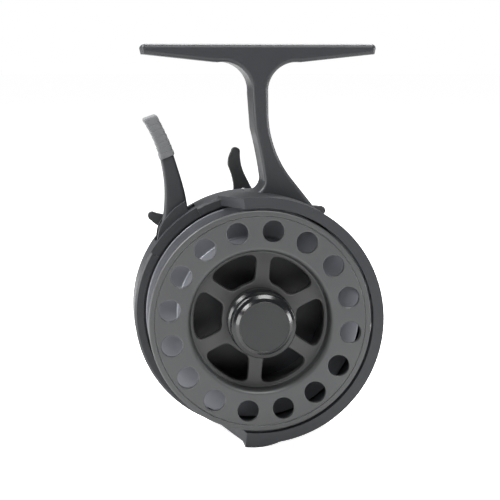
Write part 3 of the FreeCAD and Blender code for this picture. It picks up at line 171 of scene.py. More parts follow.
@dataclass(frozen=True)
class Finish:
    """One real finish: its colours, its gloss and the relief that its making left.

    Attributes:
        name: What the material is and how it was made.
        colour: Main sRGB colour.
        tint: Second sRGB colour that large soft patches lean towards.
        metallic: Metalness of the surface.
        roughness: Middle roughness.
        spread: How far the roughness varies either way.
        grain: Kind of relief.
        grain_mm: Size of the relief's features.
        relief_mm: Height of the relief.
        coat: Weight of a clear coat.
        edge_mm: Radius of the rounding that the shader gives every edge, and of the edges that take
            the edge colour.
        edge_colour: Lighter colour along every edge: partly wear, partly a painted highlight where
            edges catch the light.
        edge_share: How far the edges take that colour.
        axis: Centre of concentric marks, in metres, in the row frame.
    """

    name: str
    colour: str
    tint: str
    metallic: float = 0.0
    roughness: float = 0.5
    spread: float = 0.06
    grain: Grain = Grain.MOULDED
    grain_mm: float = 0.4
    relief_mm: float = 0.01
    coat: float = 0.0
    edge_mm: float = 0.15
    edge_colour: str = "#6c6e70"
    edge_share: float = 0.25
    axis: Place = (0.0, 0.0, 0.0)

    def relief(self, tree: bpy.types.NodeTree, place: bpy.types.NodeSocket) -> bpy.types.NodeSocket:
        """Height pattern of the surface.

        Args:
            tree: Node tree of the material.
            place: Object coordinates.

        Returns:
            Socket with the height, from nought to one.
        """
        scale = 1.0 / (self.grain_mm * MM)
        if self.grain is Grain.TURNED:
            about = add_node(tree, "VectorMath", {0: place, 1: self.axis}, operation="SUBTRACT")
            rings = add_node(tree, "TexWave", {
                "Vector": about.outputs[0], "Scale": FULL_TURN * scale / RINGS_IN_WAVE,
                "Distortion": 0.6, "Detail": 1.0, "Detail Scale": 0.4},
                wave_type="RINGS", rings_direction="Y")
            return rings.outputs["Fac"]
        if self.grain is Grain.GROUND:
            stretch = add_node(tree, "Mapping", {"Vector": place, "Scale": (1.0, 0.06, 1.0)})
            lines = add_node(tree, "TexNoise", {
                "Vector": stretch.outputs[0], "Scale": scale, "Detail": 2.0})
            return lines.outputs["Fac"]
        if self.grain is Grain.BLASTED:
            pits = add_node(tree, "TexVoronoi", {"Vector": place, "Scale": scale},
                            feature="SMOOTH_F1")
            return pits.outputs["Distance"]
        detail = 4.0 if self.grain is Grain.FELT else 2.0
        noise = add_node(tree, "TexNoise", {
            "Vector": place, "Scale": scale, "Detail": detail, "Roughness": 0.6})
        return noise.outputs["Fac"]

    def make(self) -> Material:
        """Build the material.

        Returns:
            The finished material.
        """
        material = bpy.data.materials.new(self.name)
        material.use_nodes = True
        tree = material.node_tree
        tree.nodes.clear()
        place = add_node(tree, "TexCoord").outputs["Object"]
        patches = add_node(tree, "TexNoise", {
            "Vector": place, "Scale": 1.0 / (PATCH_MM * MM), "Detail": 3.0})
        height = self.relief(tree, place)
        colour = add_node(tree, "Mix", {
            0: patches.outputs["Fac"], 6: linear(self.colour), 7: linear(self.tint)},
            data_type="RGBA")
        rounding = add_node(tree, "Bevel", {"Radius": self.edge_mm * MM}, samples=4)
        face = add_node(tree, "NewGeometry").outputs["Normal"]
        turn = add_node(tree, "VectorMath", {0: rounding.outputs[0], 1: face},
                        operation="DOT_PRODUCT")
        # Lighter colour along every edge: partly wear, partly a painted highlight where edges catch
        # the light.
        edge = add_node(tree, "MapRange", {
            "Value": turn.outputs["Value"], "From Min": EDGE_STARTS, "From Max": EDGE_IS_FULL,
            "To Min": 0.0, "To Max": self.edge_share})
        shade = add_node(tree, "Mix", {
            0: edge.outputs["Result"], 6: colour.outputs[2], 7: linear(self.edge_colour)},
            data_type="RGBA")
        rough = add_node(tree, "MapRange", {
            "Value": height, "To Min": self.roughness - self.spread,
            "To Max": self.roughness + self.spread})
        bump = add_node(tree, "Bump", {
            "Height": height, "Distance": self.relief_mm * MM, "Strength": BUMP_STRENGTH,
            "Normal": rounding.outputs[0]})
        shader = add_node(tree, "BsdfPrincipled", {
            "Base Color": shade.outputs[2], "Roughness": rough.outputs["Result"],
            "Normal": bump.outputs[0], "Metallic": self.metallic, "Coat Weight": self.coat,
            "Coat Roughness": COAT_ROUGHNESS})
        add_node(tree, "OutputMaterial", {"Surface": shader.outputs[0]})
        return material


@dataclass(frozen=True)
class Axes:
    """Where the reel's axes lie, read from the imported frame.

    Attributes:
        spool: Point on the spool's axis in the plane of its face, in metres.
        drive: Point on the drive axis.
        grip: Point on the handle knob's axis.
        trigger: Point on the trigger's pivot.
    """

    spool: Vector
    drive: Vector
    grip: Vector
    trigger: Vector

    @classmethod
    def read(cls, frame: dict) -> "Axes":
        """Read the axes from the joints.


        Returns:
            The reel's axes.
        """
        places = {j["name"]: Vector(j["pos_m"]) for j in frame["joints"] if "pos_m" in j}
        return cls(places["spool_turn"], places["crank_turn"], places["grip_turn"],
                   places["trigger_pull"])

    def to_row(self, x: Array, depth: Array, y: Array, about: Vector | None = None) -> Array:
        """Points in metres in the row frame, from millimetres about an axis.

        Args:
            x: Distances to the right.
            depth: Depths behind the spool's face.
            y: Distances up.
            about: Axis that x and y are measured from, or the spool's own.

        Returns:
            Array of points, with the three coordinates last.
        """
        centre = about or self.spool
        x, depth, y = np.broadcast_arrays(x, depth, y)
        return np.stack([centre.x + x * MM, self.spool.y + depth * MM, centre.z + y * MM], axis=-1)


class MeshMaker:
    """Collects grids of points and writes them as one closed mesh."""

    def __init__(self, name: str, axes: Axes) -> None:
        """Start an empty mesh.

        Args:
            name: Name of the piece.
            axes: The reel's axes.
        """
        self.name = name
        self.axes = axes
        self.points: list[Array] = []
        self.faces: list[Array] = []
        self.slots: list[Array] = []
        self.count = 0

    def grid(self, points: Array, closed_u: bool = False, closed_v: bool = False,
             slot: int = 0) -> None:
        """Add a grid of points as quads: point (i, j) joins (i + 1, j) and (i, j + 1).

        Args:
            points: Points, as rows by columns by three.
            closed_u: The last row joins the first.
            closed_v: The last column joins the first.
            slot: Material slot.
        """
        rows, columns = points.shape[:2]
        index = self.count + np.arange(rows * columns).reshape(rows, columns)
        if closed_u:
            index = np.vstack([index, index[:1]])
        if closed_v:
            index = np.hstack([index, index[:, :1]])
        quads = np.stack([index[:-1, :-1], index[1:, :-1], index[1:, 1:], index[:-1, 1:]], axis=-1)
        self.points.append(points.reshape(-1, 3))
        self.faces.append(quads.reshape(-1, 4))
        self.slots.append(np.full(quads[..., 0].size, slot))
        self.count += rows * columns

    def turn(self, profile: Array, about: Vector | None = None, phase: float = 0.0,
             around: int = AROUND, slot: int = 0, closed: bool = False) -> None:
        """Add a surface of revolution: each point (r, d) becomes (r cos a, d, r sin a).

        Args:
            profile: Rows of radius and depth.
            about: Axis to turn about, or the spool's own.
            phase: First angle, in radians.
            around: Points in each ring.
            slot: Material slot.
            closed: The profile returns to its first point.
        """
        angle = phase + np.arange(around) * FULL_TURN / around
        radius = profile[:, :1]
        points = self.axes.to_row(radius * np.cos(angle), profile[:, 1:2],
                                  radius * np.sin(angle), about)
        self.grid(points, closed_u=closed, closed_v=True, slot=slot)

    def repeat(self, plane: Array, depth: Array, count: int, slot: int = 0) -> None:
        """Add a cell and its copies round the spool's axis.

        Args:
            plane: Plane coordinates of the cell.
            depth: Its depths.
            count: How many cells fill the circle.
            slot: Material slot.
        """
        step = FULL_TURN / count
        for number in range(count):
            c = math.cos(number * step)
            s = math.sin(number * step)
            x = plane[..., 0] * c - plane[..., 1] * s
            y = plane[..., 0] * s + plane[..., 1] * c
            self.grid(self.axes.to_row(x, depth, y), closed_u=True, slot=slot)

    def bar(self, left: Array, right: Array, front: Array, back: Array, power: float,
            count: int = 96) -> None:
        """Add a bar between two edge curves, closed at both ends.

        Its section is a superellipse: the signed powers 2 / power of the cosine and the sine.

        Args:
            left: Left edge, row by row.
            right: Right edge, row by row.
            front: Depth of the front at each row.
            back: Depth of the back at each row.
            power: Two gives an ellipse, and more gives squarer sides.
            count: Points in each section.
        """
        turn = np.arange(count) * FULL_TURN / count
        cosine = signed_power(np.cos(turn), 2.0 / power)
        sine = signed_power(np.sin(turn), 2.0 / power)
        middle = (left + right) / 2.0
        reach = (right - left) / 2.0
        plane = middle[:, None, :] + reach[:, None, :] * cosine[None, :, None]
        depth = ((front + back) / 2.0)[:, None] + ((back - front) / 2.0)[:, None] * sine
        points = self.axes.to_row(plane[..., 0], depth, plane[..., 1])
        ends = [np.tile(points[i].mean(axis=0), (1, count, 1)) for i in (0, -1)]
        self.grid(np.concatenate([ends[0], points, ends[1]]), closed_v=True)

    def build(self, materials: Sequence[Material]) -> Object:
        """Weld the grids, point the faces outwards and make the object.

        Args:
            materials: Materials by slot.

        Returns:
            The new object, at the origin.
        """
        mesh = bpy.data.meshes.new(self.name)
        mesh.from_pydata(np.vstack(self.points).tolist(), [], np.vstack(self.faces).tolist())
        mesh.polygons.foreach_set("material_index", np.concatenate(self.slots).astype(np.int32))
        for material in materials:
            mesh.materials.append(material)
        shape = bmesh.new()
        shape.from_mesh(mesh)
        bmesh.ops.remove_doubles(shape, verts=shape.verts, dist=WELD_GRIDS)
        bmesh.ops.recalc_face_normals(shape, faces=shape.faces)
        shape.to_mesh(mesh)
        shape.free()
        mesh.shade_smooth()
        mesh.set_sharp_from_angle(angle=SHARP_ANGLE)
        piece = bpy.data.objects.new(self.name, mesh)
        bpy.context.scene.collection.objects.link(piece)
        weigh_normals(piece)
        return piece


def polar(radius: Array, angle: Array) -> Array:
    """Plane points from radii and angles.

    Args:
        radius: Radii.
        angle: Angles, in radians.

    Returns:
        Points, with the two coordinates last.
    """
    return np.stack([radius * np.cos(angle), radius * np.sin(angle)], axis=-1)


def signed_power(values: Array, power: float) -> Array:
    """Powers that keep the sign, which square off a circle's sine and cosine.

    Args:
        values: Numbers from minus one to one.
        power: Exponent: below one, the corners get squarer.

    Returns:
        The powers.
    """
    return np.sign(values) * np.abs(values) ** power


def quarter_round(way: Array, length: float) -> Array:
    """Fall of a quarter circle: one at the start, and nought past a length.

    Args:
        way: Distance from the end.
        length: Length of the rounding.

    Returns:
        Share of the rounding at each distance.
    """
    share = np.clip(way / length, 0.0, 1.0)
    return 1.0 - np.sqrt(1.0 - (1.0 - share) ** 2)


def weigh_normals(piece: Object) -> None:
    """Let large flat faces keep their own normals beside narrow rounded ones.

    Args:
        piece: Object to give the modifier to.
    """
    weighted = piece.modifiers.new("flat_faces", "WEIGHTED_NORMAL")
    weighted.keep_sharp = True
    weighted.weight = FLAT_WEIGHT


def rounded(corners: Sequence[tuple[float, ...]], steps: int = 4, closed: bool = False) -> Array:
    """Outline with its corners rounded by arcs.

    Each corner is (a, b) or (a, b, radius). An arc starts and ends at the distance
    radius * tan(half the turn) from the corner along its two sides, and its points lie
    radius away from the arc's centre.

    Args:
        corners: Corners in order.
        steps: Segments of each arc.
        closed: The outline returns to its first corner.

    Returns:
        Points, as rows of two.
    """
    points = []
    count = len(corners)
    for i, corner in enumerate(corners):
        here = np.array(corner[:2], float)
        radius = corner[2] if len(corner) > 2 else 0.0
        ends = not closed and i in (0, count - 1)
        if radius <= 0.0 or ends:
            points.append(here)
            continue
        before = np.array(corners[i - 1][:2], float) - here
        after = np.array(corners[(i + 1) % count][:2], float) - here
        before /= np.linalg.norm(before)
        after /= np.linalg.norm(after)
        half = math.acos(float(np.clip(before @ after, -1.0, 1.0))) / 2.0
        reach = radius / math.tan(half)
        bisector = (before + after) / np.linalg.norm(before + after)
        centre = here + bisector * radius / math.sin(half)
        start = here + before * reach - centre
        end = here + after * reach - centre
        sweep = math.acos(float(np.clip(start @ end / radius ** 2, -1.0, 1.0)))
        for t in np.linspace(0.0, 1.0, steps + 1):
            mix = (math.sin((1 - t) * sweep) * start + math.sin(t * sweep) * end) / math.sin(sweep)
            points.append(centre + mix)
    return np.array(points)


def pierced(border: Array, opening: Array, front: float, back: float, edge: float,
            steps: int = 4) -> tuple[Array, Array]:
    """Cell of a plate round one opening, with the opening's two edges rounded.

    The first parameter runs round the opening. The second runs on the front face from the
    border to the opening, through the plate along its wall and back to the border behind.

    Args:
        border: Border of the cell, as rows of two, matched point by point to the opening.
        opening: Outline of the opening.
        front: Depth of the front face.
        back: Depth of the back face.
        edge: Radius of the opening's edges.
        steps: Segments of each rounded edge.

    Returns:
        Plane coordinates (rows, columns, 2) and depths (rows, columns).
    """
    along = np.roll(opening, -1, axis=0) - np.roll(opening, 1, axis=0)
    normal = np.stack([along[:, 1], -along[:, 0]], axis=-1)
    normal /= np.linalg.norm(normal, axis=1, keepdims=True)
    normal *= np.sign(np.sum(normal * (border - opening)))
    angles = np.linspace(0.0, math.pi / 2.0, steps + 1)
    shift = edge * (1.0 - np.sin(angles))
    sink = edge * (1.0 - np.cos(angles))
    offsets = np.concatenate([shift, shift[::-1]])
    depths = np.concatenate([front + sink, (back - sink)[::-1]])
    rim = opening[:, None, :] + normal[:, None, :] * offsets[None, :, None]
    mid = 0.5 * border[:, None, :] + 0.5 * rim[:, :1, :]
    plane = np.concatenate([border[:, None, :], mid, rim, mid, border[:, None, :]], axis=1)
    depth = np.concatenate([[front, front], depths, [back, back]])
    return plane, np.broadcast_to(depth, plane.shape[:2])


def sector_border(inner: float, outer: float, start: float, end: float, across: int,
                  along: int) -> Array:
    """Border of a sector of a ring, anticlockwise from its start on the inner arc.

    Args:
        inner: Inner radius.
        outer: Outer radius.
        start: Start angle, in radians.
        end: End angle.
        across: Segments on each arc.
        along: Segments on each straight side.

    Returns:
        Rows of radius and angle, without the closing point.
    """
    arc = np.linspace(start, end, across + 1)
    side = np.linspace(inner, outer, along + 1)
    parts = [
        np.stack([side[:-1], np.full(along, start)], axis=-1),
        np.stack([np.full(across, outer), arc[:-1]], axis=-1),
        np.stack([side[:0:-1], np.full(along, end)], axis=-1),
        np.stack([np.full(across, inner), arc[:0:-1]], axis=-1),
    ]
    return np.vstack(parts)


class Piece:
    """A piece that takes the place of its CAD node."""

    def build(self, axes: Axes, looks: Looks) -> Object:
        """Build the piece.

        Args:
            axes: The reel's axes.
            looks: Materials by slot or by plain name.

        Returns:
            The piece.
        """
        raise NotImplementedError


@dataclass
class SpoolPiece(Piece):
    """The spool: two flanges and a large arbor, a dished front and a spoked web.

    Attributes:
        rim: Radius of both flanges.
        width: Over both flanges.
        flange: Thickness of each flange.
        arbor: Radius of the drum.
        bore: Inside radius of the drum, which is the dish's wall.
        groove: Radius of the fine groove near the rim.
        port_circle: Circle of the round holes.
        port_radius: Radius of each hole.
        port_phase: Angle of the first hole, in degrees.
        ports: How many holes.
        web: Depth of the spoked web.
        web_wall: Its thickness.
        spoke_phase: Angle of the first spoke, in degrees.
        spokes: How many spokes.
        spoke_width: Width of each spoke.
        window_inner: Inner radius of the windows.
        window_outer: Outer radius of the windows.
        hub: Outside radius of the hub.
        seat: Radius of the bearing seats.
        shoulder: Radius of the shoulder between them.
        dog: Radius of the drive dog's seat.
        seat_ends: Depths where the front seat ends, the rear one starts and the dog's starts.
        port_border: Circles between which the holes' cells lie.
        web_border: Circles between which the windows' cells lie.
        corner_power: Squareness of the windows.
        port_edge: Radius of the holes' edges.
        window_edge: Radius of the windows' edges.
        dish_edge: Radius of the dish's front edge.
        soft: Small radius of the other turned corners.
        fillet: Radius between the drum and the flanges.
        fillet_rise: Slope of the flanges' inner faces beside the drum.
        groove_half: Half the width of the fine groove.
        groove_depth: Its depth.
    """

    rim: float = 30.5
    width: float = 18.6
    flange: float = 1.6
    arbor: float = 21.4
    bore: float = 19.1
    groove: float = 28.9
    port_circle: float = 24.95
    port_radius: float = 2.95
    port_phase: float = 14.6
    ports: int = 16
    web: float = 4.2
    web_wall: float = 2.8
    spoke_phase: float = 85.6
    spokes: int = 6
    spoke_width: float = 3.9
    window_inner: float = 10.4
    window_outer: float = 18.0
    hub: float = 7.6
    seat: float = 4.5
    shoulder: float = 3.4
    dog: float = 6.4
    seat_ends: Place = (8.2, 12.2, 16.4)
    port_border: Point = (21.75, 28.5)
    web_border: Point = (9.4, 18.55)
    corner_power: float = 5.0
    port_edge: float = 0.22
    window_edge: float = 0.45
    dish_edge: float = 1.35
    soft: float = 0.4
    fillet: float = 0.8
    fillet_rise: float = 0.6
    groove_half: float = 0.16
    groove_depth: float = 0.22

    @property
    def start(self) -> float:
        """First angle of the grids, in radians: half a cell before the first hole."""
        return math.radians(self.port_phase) - FULL_TURN / self.ports / 2.0

    def ports_cells(self, maker: MeshMaker) -> None:
        """Add the front flange between the two border circles, one cell for each hole.

        Args:
            maker: Mesh to add to.
        """
        step = FULL_TURN / self.ports
        start = self.start
        border = sector_border(*self.port_border, start, start + step, AROUND // self.ports, 6)
        centre = polar(self.port_circle, start + step / 2.0)
        flat = polar(*border.T)
        way = flat - centre
        way /= np.linalg.norm(way, axis=1, keepdims=True)
        opening = centre + way * self.port_radius
        plane, depth = pierced(flat, opening, 0.0, self.flange, self.port_edge)
        maker.repeat(plane, depth, self.ports)

    def web_cells(self, maker: MeshMaker) -> None:
        """Add the spoked web between its border circles, one cell for each window.

        A window is a rounded rectangle in radius and angle: with s and c the signed powers
        2 / corner_power of the sine and cosine of the way round, its radius is the middle
        radius plus s times half the height, and its angle is the middle angle plus c times
        the half angle that leaves half a spoke's width beside it.

        Args:
            maker: Mesh to add to.
        """
        step = FULL_TURN / self.spokes
        ring = FULL_TURN / AROUND
        wanted = math.radians(self.spoke_phase)
        start = self.start + round((wanted - self.start) / ring) * ring
        border = sector_border(*self.web_border, start, start + step, AROUND // self.spokes, 10)
        middle_radius = sum(self.web_border) / 2.0
        half_radius = (self.web_border[1] - self.web_border[0]) / 2.0
        u = (border[:, 0] - middle_radius) / half_radius
        v = (border[:, 1] - (start + step / 2.0)) / (step / 2.0)
        way = np.arctan2(u, v)
        power = 2.0 / self.corner_power
        s = signed_power(np.sin(way), power)
        c = signed_power(np.cos(way), power)
        radius = ((self.window_inner + self.window_outer) / 2.0
                  + s * (self.window_outer - self.window_inner) / 2.0)
        half = step / 2.0 - np.arcsin(self.spoke_width / 2.0 / radius)
        opening = polar(radius, wanted + step / 2.0 + c * half)
        plane, depth = pierced(polar(*border.T), opening, self.web,
                               self.web + self.web_wall, self.window_edge)
        # Slot 1 wears the darker colour that paints the dish's shade onto the web.
        maker.repeat(plane, depth, self.spokes, slot=1)

    def rings(self, maker: MeshMaker) -> None:
        """Add everything that the lathe made: dish, rims, drum and hub.

        Args:
            maker: Mesh to add to.
        """
        web_back = self.web + self.web_wall
        rear = self.width
        soft = self.soft
        shoulder_front, shoulder_back, dog_front = self.seat_ends
        dish = rounded([
            (self.port_border[0], 0.0), (self.bore, 0.0, self.dish_edge),
            (self.bore, self.web, 0.5), (self.web_border[1], self.web)], 7)
        hub = rounded([
            (self.web_border[0], self.web), (self.seat, self.web), (self.seat, shoulder_front),
            (self.shoulder, shoulder_front), (self.shoulder, shoulder_back),
            (self.seat, shoulder_back), (self.seat, dog_front), (self.dog, dog_front),
            (self.dog, rear), (self.hub, rear, 0.2), (self.hub, web_back, 1.0),
            (self.web_border[0], web_back)])
        edge = (self.rim, rear - self.flange / 2.0)
        back = rounded([
            (self.web_border[1], web_back), (self.bore, web_back, soft), (self.bore, rear, 0.3),
            (self.rim, rear, soft), edge])
        winding = rounded([
            edge, (self.rim, rear - self.flange, soft),
            (self.arbor, rear - self.flange - self.fillet_rise, self.fillet),
            (self.arbor, self.flange + self.fillet_rise, self.fillet),
            (self.port_border[0], self.flange)])
        half = self.groove_half
        lip = rounded([
            (self.port_border[1], 0.0), (self.groove - half, 0.0, 0.05),
            (self.groove - half / 2.0, self.groove_depth),
            (self.groove + half / 2.0, self.groove_depth), (self.groove + half, 0.0, 0.05),
            (self.rim, 0.0, 0.5), (self.rim, self.flange, soft),
            (self.port_border[1], self.flange)], 5)
        # Slot 1 paints the dish's shade onto the hub as onto the web; slot 2 paints light into the
        # line's groove.
        for profile, slot in ((dish, 0), (hub, 1), (back, 0), (winding, 2), (lip, 0)):
            maker.turn(profile, phase=self.start, slot=slot)

    def build(self, axes: Axes, looks: Looks) -> Object:
        """Build the spool: the web and the hub wear a darker colour that is painted shade of the
        dish, and the line's groove a lighter one that is painted light.
        """
        maker = MeshMaker("spool_turned", axes)
        self.ports_cells(maker)
        self.web_cells(maker)
        self.rings(maker)
        # The groove's lighter material is painted light between the flanges; the web's darker one
        # is painted shade.
        piece = maker.build([looks["grey_aluminium"], looks["spool_web_painted_shade"], looks["line_groove_painted_light"]])
        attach(piece, "spool")
        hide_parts("spool")
        return piece


@dataclass
class TensionKnobPiece(Piece):
    """The front knob: a skirt, a finger groove, a bevelled crown and a bare satin disc.

    Attributes:
        crown: Radius of the crown.
        skirt: Radius of the skirt behind the groove.
        groove: Radius of the finger groove.
        disc: Radius of the satin disc in the crown.
        front: Depth of the crown's front, ahead of the face and so negative.
        back: Depth of the skirt's back.
        bevel_end: Radius where the crown's bevel meets its rounded edge.
        disc_sink: How far the disc lies below the crown's front.
        room: Radius of the hollow that clears the spring, and the depth where it ends.
        screw: The same for the threaded bore.
    """

    crown: float = 8.8
    skirt: float = 9.1
    groove: float = 8.2
    disc: float = 6.6
    front: float = -8.4
    back: float = 3.9
    bevel_end: float = 7.65
    disc_sink: float = 0.12
    room: Point = (5.2, 1.0)
    screw: Point = (1.85, -4.0)

    def build(self, axes: Axes, looks: Looks) -> Object:
        """Build the knob, with its satin disc."""
        maker = MeshMaker("tension_knob_turned", axes)
        floor = self.front + self.disc_sink
        room, room_end = self.room
        screw, screw_end = self.screw
        body = rounded([
            (self.disc, floor), (self.disc, self.front, 0.06),
            (self.disc + 0.25, self.front, 0.08), (self.bevel_end, self.front + 0.95, 0.15),
            (self.crown - 0.25, self.front + 1.35, 0.2), (self.crown, self.front + 1.8, 0.2),
            (self.crown, -3.6, 0.35), (self.groove, -2.9, 0.5), (self.groove, -1.5, 0.5),
            (self.skirt, -0.6, 0.35), (self.skirt, self.back, 0.3), (room, self.back, 0.1),
            (room, room_end, 0.1), (screw, room_end), (screw, screw_end), (0.0, screw_end)], 5)
        disc = np.array([(self.disc, floor), (self.disc * 0.5, floor), (0.0, floor)])
        maker.turn(body)
        maker.turn(disc, slot=1)
        piece = maker.build([looks["gloss_black"], looks["knob_disc"]])
        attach(piece, "tension")
        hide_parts("tension_knob")
        return piece


@dataclass
class GripPiece(Piece):
    """The handle knob: a waisted barrel with shallow rings for the fingers.

    Attributes:
        radius: Largest radius.
        length: Length along its axis.
        bore: Radius of the bore round the spindle.
        cap_seat: Radius of the cap's seat in the end.
        cap_depth: Depth of this seat.
        rings: How many finger rings run round the waist.
        ring_depth: Depth of each ring.
        ringed: Shares of the length between which the rings run.
        front_end: Length and height of the front's rounding, as shares.
        back_end: The same for the back's.
    """

    radius: float = 7.2
    length: float = 17.0
    bore: float = 2.2
    cap_seat: float = 4.4
    cap_depth: float = 1.4
    rings: int = 5
    ring_depth: float = 0.22
    ringed: Point = (0.2, 0.8)
    front_end: Point = (0.07, 0.22)
    back_end: Point = (0.09, 0.16)

    def build(self, axes: Axes, looks: Looks) -> Object:
        """Build the grip, behind the front face of its CAD node.

        The outside follows radius * (0.87 - 0.11 sin(pi t) + 0.12 t^2) along its length t,
        less the finger rings, each a raised cosine.
        """
        front = (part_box("handle_knob")[0].y - axes.spool.y) / MM
        t = np.linspace(0.0, 1.0, 90)
        shape = self.radius * (0.87 - 0.11 * np.sin(math.pi * t) + 0.12 * t ** 2)
        for way, (share, height) in ((t, self.front_end), (1.0 - t, self.back_end)):
            shape -= self.radius * height * quarter_round(way, share)
        first, last = self.ringed
        wave = 0.5 - 0.5 * np.cos(FULL_TURN * self.rings * (t - first) / (last - first))
        shape -= np.where((t > first) & (t < last), self.ring_depth * wave, 0.0)
        outside = np.stack([shape, front + self.length * t], axis=-1)
        back = front + self.length
        rim = np.array([(self.cap_seat, back), (self.cap_seat, back - self.cap_depth),
                        (self.bore, back - self.cap_depth), (self.bore, front), outside[0]])
        maker = MeshMaker("handle_knob_turned", axes)
        maker.turn(np.vstack([outside, rim]), about=axes.grip, around=96)
        piece = maker.build([looks["black_grip"]])
        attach(piece, "grip")
        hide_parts("handle_knob")
        return piece


def along_edge(points: Sequence[Point], t: Array) -> Array:
    """Polynomial curve through evenly spaced points.

    Args:
        points: Points that the curve passes, from its start to its end.
        t: Way along the curve, from nought to one.

    Returns:
        Points of the curve, as rows of two.
    """
    knots = np.array(points)
    at = np.linspace(0.0, 1.0, len(knots))
    fits = [np.polyfit(at, knots[:, i], len(knots) - 1) for i in range(2)]
    return np.stack([np.polyval(fit, t) for fit in fits], axis=-1)


@dataclass
class TriggerPadPiece(Piece):
    """Ribbed soft sleeve on the end of the trigger lever.

    Attributes:
        left: Left edge of the sleeve from its foot to its tip, as x and y.
        right: Right edge.
        front: Depth of its front face.
        back: Depth of its back face.
        ribs: How many ribs cross it.
        rib_depth: Depth of the steps between the ribs.
        ribbed: Shares of the length between which the ribs lie.
        foot_end: Length, as a share, and height of the foot's rounding.
        tip_end: The same for the tip's.
        squareness: Power of the section.
    """

    left: tuple[Point, ...] = ((-25.95, 42.6), (-27.0, 46.4), (-28.7, 50.3), (-30.95, 54.1))
    right: tuple[Point, ...] = ((-21.75, 44.3), (-23.1, 47.8), (-24.85, 51.6), (-26.85, 55.55))
    front: float = 21.9
    back: float = 30.2
    ribs: int = 6
    rib_depth: float = 0.16
    ribbed: Point = (0.14, 0.94)
    foot_end: Point = (0.04, 0.25)
    tip_end: Point = (0.07, 0.7)
    squareness: float = 9.0

    def build(self, axes: Axes, looks: Looks) -> Object:
        """Build the sleeve.

        Both edges are polynomial curves. Each rib swells from its foot to its top and then
        drops in a short step, so the edges read as a row of shallow saw teeth.
        """
        t = np.linspace(0.0, 1.0, 200)
        left = along_edge(self.left, t)
        right = along_edge(self.right, t)
        inset = self.foot_end[1] * quarter_round(t, self.foot_end[0])
        inset += self.tip_end[1] * quarter_round(1.0 - t, self.tip_end[0])
        first, last = self.ribbed
        phase = np.clip((t - first) / (last - first), 0.0, 0.9999) * self.ribs % 1.0
        inset += np.where((t > first) & (t < last), self.rib_depth * (1.0 - phase) ** 2, 0.0)
        across = right - left
        unit = across / np.linalg.norm(across, axis=1, keepdims=True)
        left = left + unit * inset[:, None]
        right = right - unit * inset[:, None]
        maker = MeshMaker("trigger_pad_ribbed", axes)
        maker.bar(left, right, self.front + inset, self.back - inset, self.squareness)
        piece = maker.build([looks["grip_rubber"]])
        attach(piece, "trigger")
        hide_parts("trigger_pad")
        return piece


@dataclass
class TriggerLeverPiece(Piece):
    """The finger lever: a curved blade on a round hub, with a tail that draws the slide.

    Attributes:
        left: Left edge of the blade from the hub to its end inside the sleeve.
        right: Right edge.
        front: Depth of its front face.
        back: Depth of its back face.
        hub: Radius of the hub.
        bore: Radius of the pin's hole.
        tail: Length of the tail, from the pivot to its pin.
        tail_half: Half the tail's width.
        tail_wall: Thickness of the tail.
        drive_pin: Radius of the pin on the tail.
        slide: Depth that this pin reaches forwards to.
        rows: Points along the blade and along the tail.
        blade_power: Squareness of the blade's section.
        tail_power: Squareness of the tail's section.
    """

    left: tuple[Point, ...] = ((-25.95, 20.5), (-24.75, 29.0), (-24.7, 36.2), (-26.0, 44.0))
    right: tuple[Point, ...] = ((-18.05, 23.0), (-18.3, 30.2), (-19.85, 37.0), (-22.3, 44.9))
    front: float = 22.9
    back: float = 29.2
    hub: float = 4.3
    bore: float = 1.3
    tail: float = 9.0
    tail_half: float = 1.8
    tail_wall: float = 2.0
    drive_pin: float = 1.1
    slide: float = 21.95
    rows: int = 60
    blade_power: float = 7.0
    tail_power: float = 9.0

    def build(self, axes: Axes, looks: Looks) -> Object:
        """Build the lever.

        The blade is a superellipse bar between its edge curves. The hub and the drive pin
        are turned, and the tail is a second bar from the hub to the drive pin.
        """
        pivot = axes.trigger
        maker = MeshMaker("trigger_lever_curved", axes)
        t = np.linspace(0.0, 1.0, self.rows)
        front = np.full(self.rows, self.front)
        back = np.full(self.rows, self.back)
        maker.bar(along_edge(self.left, t), along_edge(self.right, t), front, back,
                  self.blade_power)
        hub = rounded([(self.bore, self.front), (self.hub, self.front, 0.4),
                       (self.hub, self.back, 0.4), (self.bore, self.back)], closed=True)
        maker.turn(hub, about=pivot, around=64, closed=True)

        out = Vector((pivot.x - axes.spool.x, 0.0, pivot.z - axes.spool.z)).normalized()
        centre = np.array([(pivot.x - axes.spool.x) / MM, (pivot.z - axes.spool.z) / MM])
        way = np.array([-out.x, -out.z])
        side = np.array([-way[1], way[0]]) * self.tail_half
        reach = self.bore + (self.tail + self.tail_half - self.bore) * t[:, None]
        middle = centre + way * reach
        end = np.clip((reach - self.tail) / self.tail_half, 0.0, 0.999)
        width = np.sqrt(1.0 - end ** 2)
        maker.bar(middle - side * width, middle + side * width, front, front + self.tail_wall,
                  self.tail_power, 48)
        tip = pivot - out * (self.tail * MM)
        pin = rounded([(0.0, self.slide), (self.drive_pin, self.slide, 0.2),
                       (self.drive_pin, self.front + 0.1), (0.0, self.front + 0.1)], 3)
        maker.turn(pin, about=tip, around=32)
        piece = maker.build([looks["graphite_frame"]])
        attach(piece, "trigger")
        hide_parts("trigger_lever")
        return piece


def dress(frame: dict, looks: Looks) -> None:
    """Weld the triangles of each CAD node for shading and give it its material.

    Args:
        looks: Materials by material slot of the record.
    """
    slots = {s["node"]: s["material_slot"] for s in frame["record"]["subparts"]}
    for name, node in sorted(frame["nodes"].items()):
        node.data.materials.clear()
        node.data.materials.append(looks[slots[name]])
        node.modifiers.new("weld", "WELD").merge_threshold = WELD_NODES
        node.data.shade_smooth()
        node.modifiers.new("sharp_edges", "EDGE_SPLIT").split_angle = SHARP_ANGLE
        weigh_normals(node)
        LOG.info("dressed %s as %s", name, slots[name])


